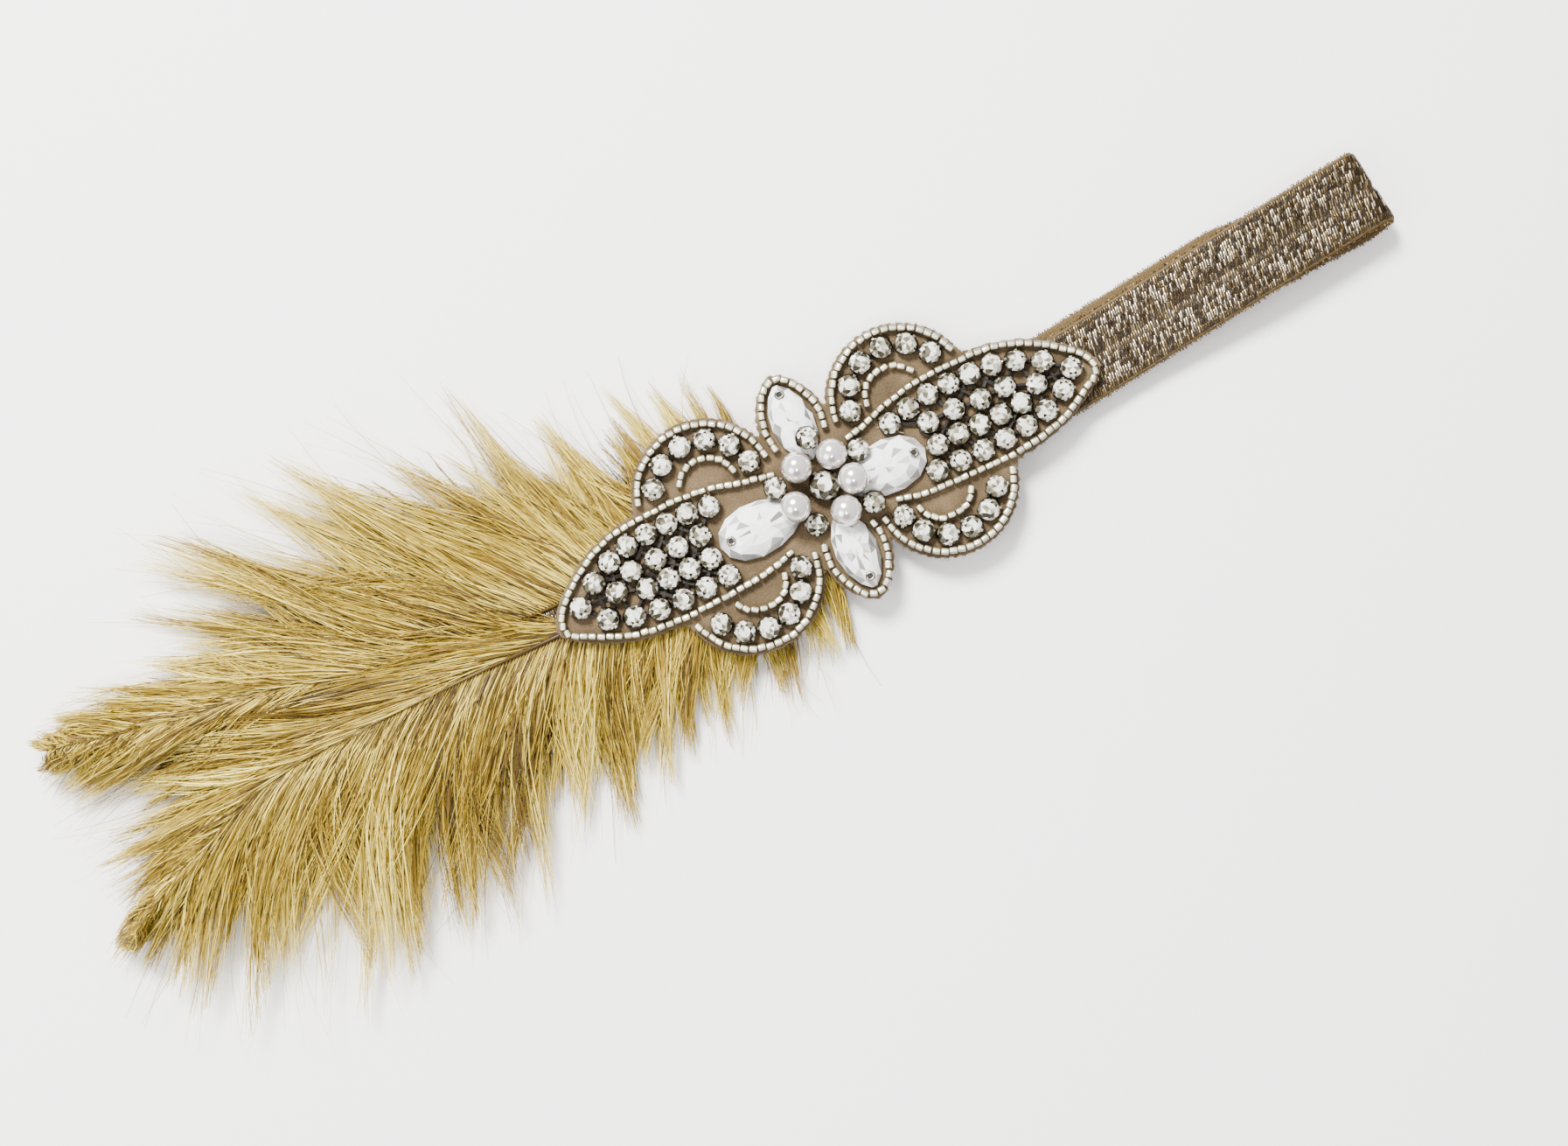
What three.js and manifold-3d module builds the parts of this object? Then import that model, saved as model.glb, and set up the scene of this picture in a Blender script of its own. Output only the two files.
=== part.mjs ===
// Flapper headband: a folded loop of metallic elastic, a jewelled applique and two plumes.
// Millimetres, +Z up. +X runs along the applique towards the loop's free fold, +Y across it.
// The origin is on the underside of the loop, below the applique's middle stone.
import * as THREE from "three";
import { mergeVertices } from "three/addons/utils/BufferGeometryUtils.js";
import Module from "manifold-3d";

const wasm = await Module();
wasm.setup();

// Driving dimensions: the elastic loop, lying folded flat.
const bandWidth = 16;
const bandThickness = 1.2;
const bandLength = 520;
const bandReach = 127.6;
const bandOffset = -4.93;
const bandTurn = 0.0917;
const bandTurnStart = 15;
const grooveWidth = 1.6;
const grooveDepth = 0.35;
const looseGap = 0.4;
const freeFoldGap = 5.6;
const coveredFoldGap = 3.2;
const layerShift = 1.9;

// Driving dimensions: the applique's ground and edges.
const backingThickness = 1.0;
const backingMargin = 0.6;
const beadDiameter = 1.5;
const leafReach = 60.2;
const leafHalfWidth = 11;
const petalReach = 24.6;
const petalHalfWidth = 6;
const scrollRadius = 14;
const scrollHeight = 9.3;
const scrollDrop = 0.6;
// The arch inside a scroll, as shares of the room within the scroll's stones.
const archHalfWidth = 0.8;
const archTop = 0.93;
const archShift = 0.16;

// Driving dimensions: stones and pearls.
const stoneDiameter = 4.6;
const stoneHeight = 2.6;
const middleStoneDiameter = 6.2;
const middleStoneHeight = 3.8;
const pearlDiameter = 6.3;
const pearlRing = 6.6;
const navetteLength = 17;
const navetteWidth = 8.8;
const navettePlace = 14.2;
const pearLength = 18;
const pearWidth = 10.9;
// How much wider the pear's outer half is than its inner half, as a share of its width.
const pearSwell = 0.15;
// The pears' middles: along the leaf and across it.
const pearPlaces = {
  right: { out: 12.4, across: -2.15 },
  left: { out: 15.2, across: -1.75 },
};
const sewStoneHeight = 3;
const girdleHeight = 0.7;
const drillDiameter = 1.2;
const nettingWidth = 1.4;
const nettingHeight = 0.6;
const shoulderHeight = 0.55 * sewStoneHeight;

// Driving dimensions: the plumes.
const quillDiameter = 1.6;
const quillTipDiameter = 0.7;
const lockWidth = 13;
const lockThickness = 0.8;
const plumeReach = 161;

// Clearance between neighbouring pieces.
const gap = 0.3;

// Heights of the stack, from the loop's underside upwards.
const looseTop = 2 * bandThickness + looseGap;
const quillHeight = looseTop + gap + quillDiameter / 2;
const backingBottom = looseTop + gap + quillDiameter + gap;
const backingTop = backingBottom + backingThickness;
const stoneBase = backingTop + gap;
const beadHeight = backingTop + gap + beadDiameter / 2;
const sewnGap = backingBottom - gap - 2 * bandThickness;
const beadPitch = beadDiameter + gap;
const stoneRadius = stoneDiameter / 2;

const degrees = (value) => (value * Math.PI) / 180;

// Eases between the rows of a table, level at each row.
function follow(table, at, column) {
  if (at <= table[0].at) return table[0][column];
  for (let i = 1; i < table.length; i += 1) {
    const a = table[i - 1];
    const b = table[i];
    if (at <= b.at) {
      const t = (at - a.at) / (b.at - a.at);
      return a[column] + (b[column] - a[column]) * t * t * (3 - 2 * t);
    }
  }
  return table[table.length - 1][column];
}

// Reads a table as one smooth curve through its rows.
function flow(table, at, column) {
  const last = table.length - 1;
  let i = 1;
  while (i < last && at > table[i].at) i += 1;
  const slope = (k) => {
    const [a, b] = [table[Math.max(k - 1, 0)], table[Math.min(k + 1, last)]];
    return (b[column] - a[column]) / (b.at - a.at);
  };
  const [a, b] = [table[i - 1], table[i]];
  const span = b.at - a.at;
  const t = (at - a.at) / span;
  const rise = (1 + 2 * t) * (1 - t) ** 2 * a[column] + t * t * (3 - 2 * t) * b[column];
  const bend = t * (1 - t) ** 2 * slope(i - 1) - t * t * (1 - t) * slope(i);
  return rise + bend * span;
}

// Reads a table in straight lines between its rows.
function along(table, at, column) {
  for (let i = 1; i < table.length; i += 1) {
    const a = table[i - 1];
    const b = table[i];
    if (at <= b.at || i === table.length - 1) {
      return a[column] + ((b[column] - a[column]) * (at - a.at)) / (b.at - a.at);
    }
  }
  return table[0][column];
}

// Joins equal rings of points into one closed skin, as a ring or with capped ends.
function loft(rings, closed) {
  const count = rings[0].length;
  const last = closed ? rings.length : rings.length - 1;
  const index = [];
  for (let i = 0; i < last; i += 1) {
    const here = i * count;
    const next = ((i + 1) % rings.length) * count;
    for (let j = 0; j < count; j += 1) {
      const k = (j + 1) % count;
      index.push(here + j, next + j, next + k, here + j, next + k, here + k);
    }
  }
  if (!closed) {
    const end = (rings.length - 1) * count;
    for (let j = 1; j < count - 1; j += 1) {
      index.push(0, j, j + 1, end, end + j + 1, end + j);
    }
  }
  const geometry = new THREE.BufferGeometry();
  const points = rings.flat(2);
  geometry.setAttribute("position", new THREE.Float32BufferAttribute(points, 3));
  geometry.setIndex(index);
  return geometry;
}

// Turns a three.js geometry into a solid that can be joined or cut.
function toSolid(geometry) {
  const bare = geometry.clone();
  bare.deleteAttribute("normal");
  bare.deleteAttribute("uv");
  const merged = mergeVertices(bare, 1e-4);
  const triangles = [];
  for (let i = 0; i < merged.index.count; i += 3) {
    const [a, b, c] = [0, 1, 2].map((k) => merged.index.getX(i + k));
    if (a !== b && b !== c && c !== a) triangles.push(a, b, c);
  }
  const vertProperties = new Float32Array(merged.attributes.position.array);
  const triVerts = new Uint32Array(triangles);
  return new wasm.Manifold(new wasm.Mesh({ numProp: 3, vertProperties, triVerts }));
}

function toGeometry(solid) {
  const mesh = solid.getMesh();
  const geometry = new THREE.BufferGeometry();
  geometry.setAttribute("position", new THREE.BufferAttribute(mesh.vertProperties, 3));
  geometry.setIndex(new THREE.BufferAttribute(mesh.triVerts, 1));
  return geometry;
}

const join = (geometries) =>
  toGeometry(geometries.map(toSolid).reduce((whole, piece) => whole.add(piece)));

// The loop of elastic: two layers and two folds, as stations round its middle surface.
const planHeight = (x) => {
  const run = x - bandTurnStart;
  return bandOffset + (bandTurn * (Math.hypot(run, bandTurnStart) + run)) / 2;
};
const planAngle = (x) => Math.atan(planHeight(x + 0.5) - planHeight(x - 0.5));

const freeFoldRadius = (freeFoldGap + bandThickness) / 2;
const coveredFoldRadius = (coveredFoldGap + bandThickness) / 2;
const runEnd = bandReach - freeFoldRadius - bandThickness / 2;
const runLength = (bandLength - Math.PI * (freeFoldRadius + coveredFoldRadius)) / 2;
const runStart = runEnd - runLength;

// Clear height between the layers along the loop.
const gapRows = [
  { at: runStart, gap: coveredFoldGap },
  { at: runStart + 0.16 * runLength, gap: looseGap },
  { at: 0.1 * leafReach, gap: looseGap },
  { at: 0.22 * leafReach, gap: sewnGap },
  { at: 1.04 * leafReach, gap: sewnGap },
  { at: 0.83 * bandReach, gap: freeFoldGap },
  { at: runEnd, gap: freeFoldGap },
];
// How far the lower layer lies to one side of the upper one.
const shiftRows = [
  { at: 0.8 * runStart, shift: 0 },
  { at: 0.3 * leafReach, shift: layerShift },
  { at: 0.73 * bandReach, shift: layerShift },
  { at: 0.83 * bandReach, shift: 0 },
  { at: runEnd, shift: -0.5 * layerShift },
];

function bandStations() {
  const lowerSteps = 16;
  const upperSteps = 27;
  const foldSteps = 8;
  const half = bandThickness / 2;
  const stations = [];
  for (let i = 0; i < lowerSteps; i += 1) {
    const x = runStart + (runLength * i) / lowerSteps;
    stations.push({ x, z: half, nx: 0, nz: -1, shift: follow(shiftRows, x, "shift") });
  }
  for (let i = 0; i < foldSteps; i += 1) {
    const turn = (Math.PI * i) / foldSteps;
    const x = runEnd + freeFoldRadius * Math.sin(turn);
    const z = half + freeFoldRadius * (1 - Math.cos(turn));
    const shift = follow(shiftRows, runEnd, "shift") * (1 - i / foldSteps);
    stations.push({ x, z, nx: Math.sin(turn), nz: -Math.cos(turn), shift });
  }
  for (let i = 0; i < upperSteps; i += 1) {
    const x = runEnd - (runLength * i) / upperSteps;
    const z = half + bandThickness + follow(gapRows, x, "gap");
    stations.push({ x, z, nx: 0, nz: 1, shift: 0 });
  }
  for (let i = 0; i < foldSteps; i += 1) {
    const turn = (Math.PI * i) / foldSteps;
    const x = runStart - coveredFoldRadius * Math.sin(turn);
    const z = half + coveredFoldRadius * (1 + Math.cos(turn));
    stations.push({ x, z, nx: -Math.sin(turn), nz: Math.cos(turn), shift: 0 });
  }
  return stations;
}

function band() {
  const side = bandWidth / 2;
  const half = bandThickness / 2;
  const section = [
    { across: -side, out: -half },
    { across: side, out: -half },
    { across: side, out: half },
    { across: grooveWidth / 2, out: half },
    { across: 0, out: half - grooveDepth },
    { across: -grooveWidth / 2, out: half },
    { across: -side, out: half },
  ];
  const rings = bandStations().map((station) =>
    section.map(({ across, out }) => {
      const x = station.x + station.nx * out;
      const angle = planAngle(x);
      const sideways = across + station.shift;
      return [
        x - Math.sin(angle) * sideways,
        planHeight(x) + Math.cos(angle) * sideways,
        station.z + station.nz * out,
      ];
    }),
  );
  return loft(rings, true);
}

// Leaf outline: half widths above and below its middle line, as shares of the leaf's sizes.
const leafRows = [
  { at: 0.13, up: 0.6, down: 0.68 },
  { at: 0.22, up: 0.7, down: 0.86 },
  { at: 0.32, up: 0.86, down: 0.96 },
  { at: 0.45, up: 0.97, down: 1.0 },
  { at: 0.58, up: 0.97, down: 1.02 },
  { at: 0.7, up: 0.92, down: 0.97 },
  { at: 0.81, up: 0.72, down: 0.84 },
  { at: 0.9, up: 0.4, down: 0.6 },
  { at: 0.965, up: 0.08, down: 0.4 },
];
const leafTip = -0.22;
const leafStart = { up: 0.13, down: 0.19 };
// Petal outline: half width along the petal, as shares of its sizes.
const petalRows = [
  { at: 0.42, half: 0.9 },
  { at: 0.54, half: 1 },
  { at: 0.7, half: 0.91 },
  { at: 0.86, half: 0.58 },
];

const leafEdge = (x, way) =>
  leafHalfWidth * along(leafRows, Math.abs(x) / leafReach, way > 0 ? "up" : "down");

// One edge of the leaf, from where it leaves the middle cluster almost to the tip.
function leafHalf(way) {
  const start = way > 0 ? leafStart.up : leafStart.down;
  const places = [start, ...leafRows.map((row) => row.at).filter((at) => at > start)];
  return places.map((at) => [at * leafReach, way * leafEdge(at * leafReach, way)]);
}

function leafOutline(side) {
  const tip = [leafReach, leafTip * leafHalfWidth];
  const points = [...leafHalf(1), tip, ...leafHalf(-1).reverse()];
  return points.map(([x, y]) => new THREE.Vector3(side * x, y, beadHeight));
}

function petalOutline(way) {
  const right = petalRows.map((row) => [row.half * petalHalfWidth, row.at * petalReach]);
  const left = right.map(([x, y]) => [-x, y]).reverse();
  const points = [...right, [0, petalReach], ...left];
  return points.map(([x, y]) => new THREE.Vector3(x, way * y, beadHeight));
}

// The four scrolls: which way they lie, their stones and the arc that those cover.
const scrolls = [
  { name: "upper_right", side: 1, way: 1, stones: 6, from: 170, to: 30 },
  { name: "upper_left", side: -1, way: 1, stones: 6, from: 170, to: 30 },
  { name: "lower_right", side: 1, way: -1, stones: 6, from: 166, to: 32 },
  { name: "lower_left", side: -1, way: -1, stones: 6, from: 166, to: 32 },
];
const scrollPlace = petalHalfWidth + beadPitch + scrollRadius;
const stoneRing = scrollRadius - beadDiameter / 2 - gap - stoneRadius;
const archRoom = stoneRing - stoneRadius - gap - beadDiameter / 2;
const scrollLevel = ({ way }) => scrollHeight + (way < 0 ? scrollDrop : 0);

function onScroll(scroll, radius, angle) {
  const x = scrollPlace + radius * Math.cos(degrees(angle));
  const y = scrollLevel(scroll) + radius * Math.sin(degrees(angle));
  return [scroll.side * x, scroll.way * y];
}

// Angle on the scroll's edge where it comes down beside the leaf's own edge.
function scrollEnd(scroll) {
  let angle = 60;
  const clear = (turn) => {
    const [x, y] = onScroll(scroll, scrollRadius, turn);
    return Math.abs(y) - leafEdge(x, scroll.way) > beadPitch + gap;
  };
  while (angle > 0 && clear(angle - 1)) angle -= 1;
  return angle;
}

function scrollEdge(scroll) {
  const steps = 12;
  const first = 176;
  const last = scrollEnd(scroll);
  const points = [];
  for (let i = 0; i <= steps; i += 1) {
    const [x, y] = onScroll(scroll, scrollRadius, first + ((last - first) * i) / steps);
    points.push(new THREE.Vector3(x, y, beadHeight));
  }
  return points;
}

// The small arch inside a scroll, standing on the leaf's edge.
function scrollArch(scroll) {
  const steps = 9;
  const top = scrollLevel(scroll) + archTop * archRoom;
  const points = [];
  for (let i = 0; i <= steps; i += 1) {
    const turn = Math.PI * (1 - i / steps);
    const x = scrollPlace + archRoom * (archHalfWidth * Math.cos(turn) - archShift);
    const foot = leafEdge(x, scroll.way) + beadPitch + gap;
    const y = foot + (top - foot) * Math.sin(turn);
    points.push(new THREE.Vector3(scroll.side * x, scroll.way * y, beadHeight));
  }
  return points;
}

// A string of beads as one tube along a curve.
function beadTube(points) {
  const sides = 8;
  const curve = new THREE.CatmullRomCurve3(points, false, "centripetal");
  const section = new THREE.Shape();
  for (let i = 0; i < sides; i += 1) {
    const turn = (2 * Math.PI * (i + 0.5)) / sides;
    const x = (beadDiameter / 2) * Math.cos(turn);
    const y = (beadDiameter / 2) * Math.sin(turn);
    if (i === 0) section.moveTo(x, y);
    else section.lineTo(x, y);
  }
  section.closePath();
  const steps = Math.max(4, Math.round(curve.getLength() / (3 * beadDiameter)));
  return new THREE.ExtrudeGeometry(section, { extrudePath: curve, steps, bevelEnabled: false });
}

// Pushes an outline outwards from the point it goes round.
function widen(points, distance, middle) {
  return points.map((point, i) => {
    const before = points[Math.max(i - 1, 0)];
    const after = points[Math.min(i + 1, points.length - 1)];
    const normal = new THREE.Vector2(after.y - before.y, before.x - after.x).normalize();
    const outward = normal.dot(new THREE.Vector2(point.x - middle.x, point.y - middle.y));
    return new THREE.Vector2(point.x, point.y).addScaledVector(normal, distance * Math.sign(outward));
  });
}

function plate(outline, bottom, height) {
  const shape = new THREE.Shape(outline);
  const geometry = new THREE.ExtrudeGeometry(shape, { depth: height, bevelEnabled: false });
  return geometry.translate(0, 0, bottom);
}

function disc(x, y, radius, sides, bottom, height) {
  const geometry = new THREE.CylinderGeometry(radius, radius, height, sides);
  return geometry.rotateX(Math.PI / 2).translate(x, y, bottom + height / 2);
}

function backing() {
  const margin = beadDiameter / 2 + backingMargin;
  const pieces = [disc(0, 0, 1.5 * pearlRing, 24, backingBottom, backingThickness)];
  for (const side of [1, -1]) {
    const outline = widen(leafOutline(side), margin, { x: side * 0.5 * leafReach, y: 0 });
    pieces.push(plate(outline, backingBottom, backingThickness));
  }
  for (const way of [1, -1]) {
    const outline = widen(petalOutline(way), margin, { x: 0, y: way * 0.6 * petalReach });
    pieces.push(plate(outline, backingBottom, backingThickness));
  }
  for (const scroll of scrolls) {
    const [x, y] = [scroll.side * scrollPlace, scroll.way * scrollLevel(scroll)];
    const radius = scrollRadius + margin;
    pieces.push(disc(x, y, radius, 24, backingBottom, backingThickness));
  }
  return join(pieces);
}

// A claw-set stone: its cup, the crown facets and a flat table.
function stone(x, y, base, diameter, height, sides = 8) {
  const radius = diameter / 2;
  const profile = [
    { out: 0, up: 0 },
    { out: 1, up: 0 },
    { out: 1, up: 0.55 },
    { out: 0.52, up: 1 },
    { out: 0, up: 1 },
  ].map(({ out, up }) => new THREE.Vector2(out * radius, up * height));
  const geometry = new THREE.LatheGeometry(profile, sides);
  return geometry.rotateX(Math.PI / 2).translate(x, y, base);
}

// Rows of stones in a leaf: the stone count, where the row runs from and to, as shares of the room
// between the pear's end and the leaf's tip, and the place between the edges.
const leafStoneRows = {
  right: [
    { stones: 9, from: -0.185, to: 0.859, across: 0, acrossEnd: 0 },
    { stones: 5, from: 0.01, to: 0.644, across: 0.33, acrossEnd: 0.5 },
    { stones: 5, from: 0, to: 0.508, across: 0.67, acrossEnd: 0.68 },
    { stones: 7, from: -0.064, to: 0.765, across: 1, acrossEnd: 1 },
  ],
  left: [
    { stones: 8, from: -0.126, to: 0.829, across: 0, acrossEnd: 0 },
    { stones: 5, from: 0, to: 0.596, across: 0.34, acrossEnd: 0.5 },
    { stones: 4, from: 0, to: 0.418, across: 0.68, acrossEnd: 0.62 },
    { stones: 6, from: -0.049, to: 0.713, across: 1, acrossEnd: 1 },
  ],
};

// Moves the inner stones away from each other and from the outer rows until each has its own
// width of room, and keeps them clear of the pear.
function spread(inner, outer, start) {
  const apart = stoneDiameter + gap / 3;
  const places = inner.map(([x, y]) => [x, y]);
  for (let round = 0; round < 120; round += 1) {
    for (const place of places) {
      const others = [...outer, ...places.filter((other) => other !== place)];
      for (const other of others) {
        const away = Math.hypot(place[0] - other[0], place[1] - other[1]);
        const push = Math.max(apart - away, 0) / (2 * away);
        place[0] = Math.max(place[0] + push * (place[0] - other[0]), start);
        place[1] += push * (place[1] - other[1]);
      }
    }
  }
  return places;
}

function leafStonePlaces(hand, side) {
  const inset = beadDiameter / 2 + gap + stoneRadius;
  const start = pearPlaces[hand].out + pearLength / 2 + gap + stoneRadius;
  const rows = leafStoneRows[hand].map((row) => {
    const places = [];
    for (let i = 0; i < row.stones; i += 1) {
      const t = i / (row.stones - 1);
      const x = start + (leafReach - start) * (row.from + (row.to - row.from) * t);
      const slope = (leafEdge(x + 1, 1) - leafEdge(x - 1, 1)) / 2;
      const slopeDown = (leafEdge(x + 1, -1) - leafEdge(x - 1, -1)) / 2;
      const top = leafEdge(x, 1) - inset * Math.hypot(1, slope);
      const bottom = inset * Math.hypot(1, slopeDown) - leafEdge(x, -1);
      const share = row.across + (row.acrossEnd - row.across) * t * t;
      places.push([x, top + (bottom - top) * share]);
    }
    return places;
  });
  const [top, second, third, bottom] = rows;
  const inner = spread([...second, ...third], [...top, ...bottom], start);
  const ordered = [top, inner.slice(0, second.length), inner.slice(second.length), bottom];
  return ordered.map((row) => row.map(([x, y]) => [side * x, y]));
}

// The thin netting that ties cups together, inside a border through their middles.
const netting = (border) =>
  plate(border.map(([x, y]) => new THREE.Vector2(x, y)), stoneBase, nettingHeight);

// The stones of a leaf on the netting that they are sewn to, which stops at the middles of the
// outermost stones.
function leafStones(hand, side) {
  const rows = leafStonePlaces(hand, side);
  const [top, second, third, bottom] = rows;
  const border = [...top, ...[...bottom].reverse(), third[0], second[0]];
  const stones = rows.flat().map(([x, y]) => stone(x, y, stoneBase, stoneDiameter, stoneHeight));
  return join([netting(border), ...stones]);
}

function scrollStones(scroll) {
  const places = [];
  const outer = [];
  const inner = [];
  for (let i = 0; i < scroll.stones; i += 1) {
    const angle = scroll.from + ((scroll.to - scroll.from) * i) / (scroll.stones - 1);
    places.push(onScroll(scroll, stoneRing, angle));
    outer.push(onScroll(scroll, stoneRing + nettingWidth / 2, angle));
    inner.push(onScroll(scroll, stoneRing - nettingWidth / 2, angle));
  }
  const stones = places.map(([x, y]) => stone(x, y, stoneBase, stoneDiameter, stoneHeight));
  return join([netting([...outer, ...inner.reverse()]), ...stones]);
}

// A flat-backed sew-on stone: outline rings from the back up to the table, with a drilled hole.
function sewStone(outline, hole) {
  const levels = [
    { size: 0.97, up: 0 },
    { size: 1, up: girdleHeight },
    { size: 0.7, up: shoulderHeight },
    { size: 0.4, up: sewStoneHeight },
  ];
  const rings = levels.map(({ size, up }) =>
    outline.map(([x, y]) => [x * size, y * size, stoneBase + up]).reverse(),
  );
  const drill = disc(hole[0], hole[1], drillDiameter / 2, 8, stoneBase - 1, 3 * sewStoneHeight);
  return toGeometry(toSolid(loft(rings, false)).subtract(toSolid(drill)));
}

function navette(way) {
  const sides = 16;
  const outline = [];
  for (let i = 0; i < sides; i += 1) {
    const turn = (2 * Math.PI * i) / sides;
    const y = (navetteLength / 2) * Math.sin(turn);
    const x = (navetteWidth / 2) * Math.sign(Math.cos(turn)) * Math.abs(Math.cos(turn)) ** 1.5;
    outline.push([x, y]);
  }
  const hole = [0, way * 0.36 * navetteLength];
  return sewStone(outline, hole).translate(0, way * navettePlace, 0);
}

function pear(hand, side) {
  const sides = 18;
  const outline = [];
  for (let i = 0; i < sides; i += 1) {
    const turn = (2 * Math.PI * i) / sides;
    const fullness = 1 + pearSwell * Math.cos(turn);
    const x = (pearLength / 2) * Math.cos(turn);
    outline.push([side * x, side * (pearWidth / 2) * Math.sin(turn) * fullness]);
  }
  const { out, across } = pearPlaces[hand];
  return sewStone(outline, [side * 0.36 * pearLength, 0]).translate(side * out, across, 0);
}

function pearl({ angle, out, lift }) {
  const geometry = new THREE.SphereGeometry(pearlDiameter / 2, 12, 8);
  const height = stoneBase + lift * sewStoneHeight + pearlDiameter / 2;
  const x = out * pearlRing * Math.cos(degrees(angle));
  const y = out * pearlRing * Math.sin(degrees(angle));
  return geometry.rotateX(Math.PI / 2).translate(x, y, height);
}

// The middle cluster: pearls at their angles, out as shares of their ring and lifted over the
// sew-on stones' ends by shares of those stones' height.
const pearls = [
  { angle: 123, out: 0.99, lift: 0.27 },
  { angle: 51, out: 0.94, lift: 0.27 },
  { angle: -16, out: 0.87, lift: 0.72 },
  { angle: -78, out: 1.03, lift: 0.44 },
  { angle: -168, out: 1.13, lift: 0.55 },
];
// Small stones tucked between the pearls, placed as shares of the pearls' ring. The first sits on
// a navette's table, and three on the pears' shoulders.
const clusterStones = [
  { x: 0.152, y: 1.485, lift: sewStoneHeight + gap },
  { x: 1.38, y: 0.5, lift: shoulderHeight + gap },
  { x: -1.38, y: 0.57, lift: shoulderHeight + gap },
  { x: -0.744, y: -0.952, lift: 0 },
  { x: 1.09, y: -1.136, lift: shoulderHeight + gap },
];

// Plumes: the shaft's course across the plan and its rise, then for each side the length and
// lean of its locks. All are shares of the plume's reach, and lean is in degrees.
const plumes = [
  {
    name: "feather_front",
    course: [
      { at: 0, y: -0.02 },
      { at: 0.37, y: -0.018 },
      { at: 0.53, y: -0.016 },
      { at: 0.66, y: -0.016 },
      { at: 0.78, y: -0.024 },
      { at: 0.87, y: -0.058 },
      { at: 0.94, y: -0.085 },
      { at: 1, y: -0.118 },
    ],
    rise: [
      { at: 0.385, z: 0 },
      { at: 0.5, z: 0.0267 },
      { at: 0.8, z: 0.0329 },
      { at: 1, z: 0.0298 },
    ],
    sides: [
      {
        way: -1,
        locks: 13,
        rows: [
          { at: 0.05, reach: 0.19, lean: 0 },
          { at: 0.2, reach: 0.22, lean: 8 },
          { at: 0.36, reach: 0.25, lean: 15 },
          { at: 0.48, reach: 0.32, lean: 22 },
          { at: 0.62, reach: 0.33, lean: 28 },
          { at: 0.76, reach: 0.32, lean: 34 },
          { at: 0.87, reach: 0.2, lean: 40 },
          { at: 0.95, reach: 0.09, lean: 44 },
        ],
      },
      {
        way: 1,
        locks: 7,
        rows: [
          { at: 0.47, reach: 0.22, lean: 50 },
          { at: 0.6, reach: 0.23, lean: 58 },
          { at: 0.76, reach: 0.16, lean: 68 },
          { at: 0.93, reach: 0.06, lean: 90 },
        ],
      },
    ],
  },
  {
    name: "feather_back",
    course: [
      { at: 0, y: 0.009 },
      { at: 0.31, y: 0.018 },
      { at: 0.44, y: 0.023 },
      { at: 0.53, y: 0.027 },
      { at: 0.62, y: 0.041 },
      { at: 0.71, y: 0.072 },
      { at: 0.8, y: 0.088 },
      { at: 0.9, y: 0.109 },
      { at: 1, y: 0.139 },
    ],
    rise: [
      { at: 0.34, z: 0 },
      { at: 0.54, z: 0.0106 },
      { at: 0.8, z: 0.0193 },
      { at: 1, z: 0.0186 },
    ],
    sides: [
      {
        way: 1,
        locks: 14,
        rows: [
          { at: 0.05, reach: 0.2, lean: -4 },
          { at: 0.18, reach: 0.23, lean: 8 },
          { at: 0.3, reach: 0.29, lean: 18 },
          { at: 0.42, reach: 0.34, lean: 24 },
          { at: 0.56, reach: 0.37, lean: 36 },
          { at: 0.7, reach: 0.24, lean: 48 },
          { at: 0.82, reach: 0.14, lean: 54 },
          { at: 0.93, reach: 0.06, lean: 56 },
        ],
      },
      {
        way: -1,
        locks: 6,
        rows: [
          { at: 0.46, reach: 0.13, lean: 62 },
          { at: 0.8, reach: 0.12, lean: 64 },
          { at: 0.93, reach: 0.05, lean: 66 },
        ],
      },
    ],
  },
];

const shaftHeight = ({ rise }, x) =>
  quillHeight + plumeReach * follow(rise, -x / plumeReach, "z");
const shaftCourse = ({ course }, at) => plumeReach * flow(course, at, "y");

function shaft(feather) {
  const sides = 6;
  const steps = 20;
  const rings = [];
  for (let i = 0; i <= steps; i += 1) {
    const at = i / steps;
    const x = -at * plumeReach;
    const radius = (quillDiameter + (quillTipDiameter - quillDiameter) * at) / 2;
    const ring = [];
    for (let j = 0; j < sides; j += 1) {
      const turn = (2 * Math.PI * (j + 0.5)) / sides;
      const y = shaftCourse(feather, at) + radius * Math.cos(turn);
      ring.push([x, y, shaftHeight(feather, x) + radius * Math.sin(turn)]);
    }
    rings.push(ring);
  }
  return loft(rings, false);
}

// One lock: a flat ridged strip that widens, then runs out to a point as it curves to the tip.
const lockStages = [
  { along: 0, wide: 0.75, thick: 1 },
  { along: 0.55, wide: 1, thick: 1 },
  { along: 1, wide: 0.08, thick: 0.5 },
];
const lockCurl = 12;

function lock(feather, at, way, reach, lean) {
  const startX = -at * plumeReach;
  const startY = shaftCourse(feather, at);
  const rings = lockStages.map(({ along: t, wide, thick }) => {
    const turn = degrees(lean + lockCurl * (t - 0.5));
    const dx = -Math.sin(turn);
    const dy = way * Math.cos(turn);
    const x = startX + dx * reach * t;
    const y = startY + dy * reach * t;
    const w = (lockWidth * wide) / 2;
    const h = (lockThickness * thick) / 2;
    const z = shaftHeight(feather, x);
    return [
      [x - dy * w, y + dx * w, z - h],
      [x + dy * w, y - dx * w, z - h],
      [x, y, z + h],
    ];
  });
  return loft(rings, false);
}

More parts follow.
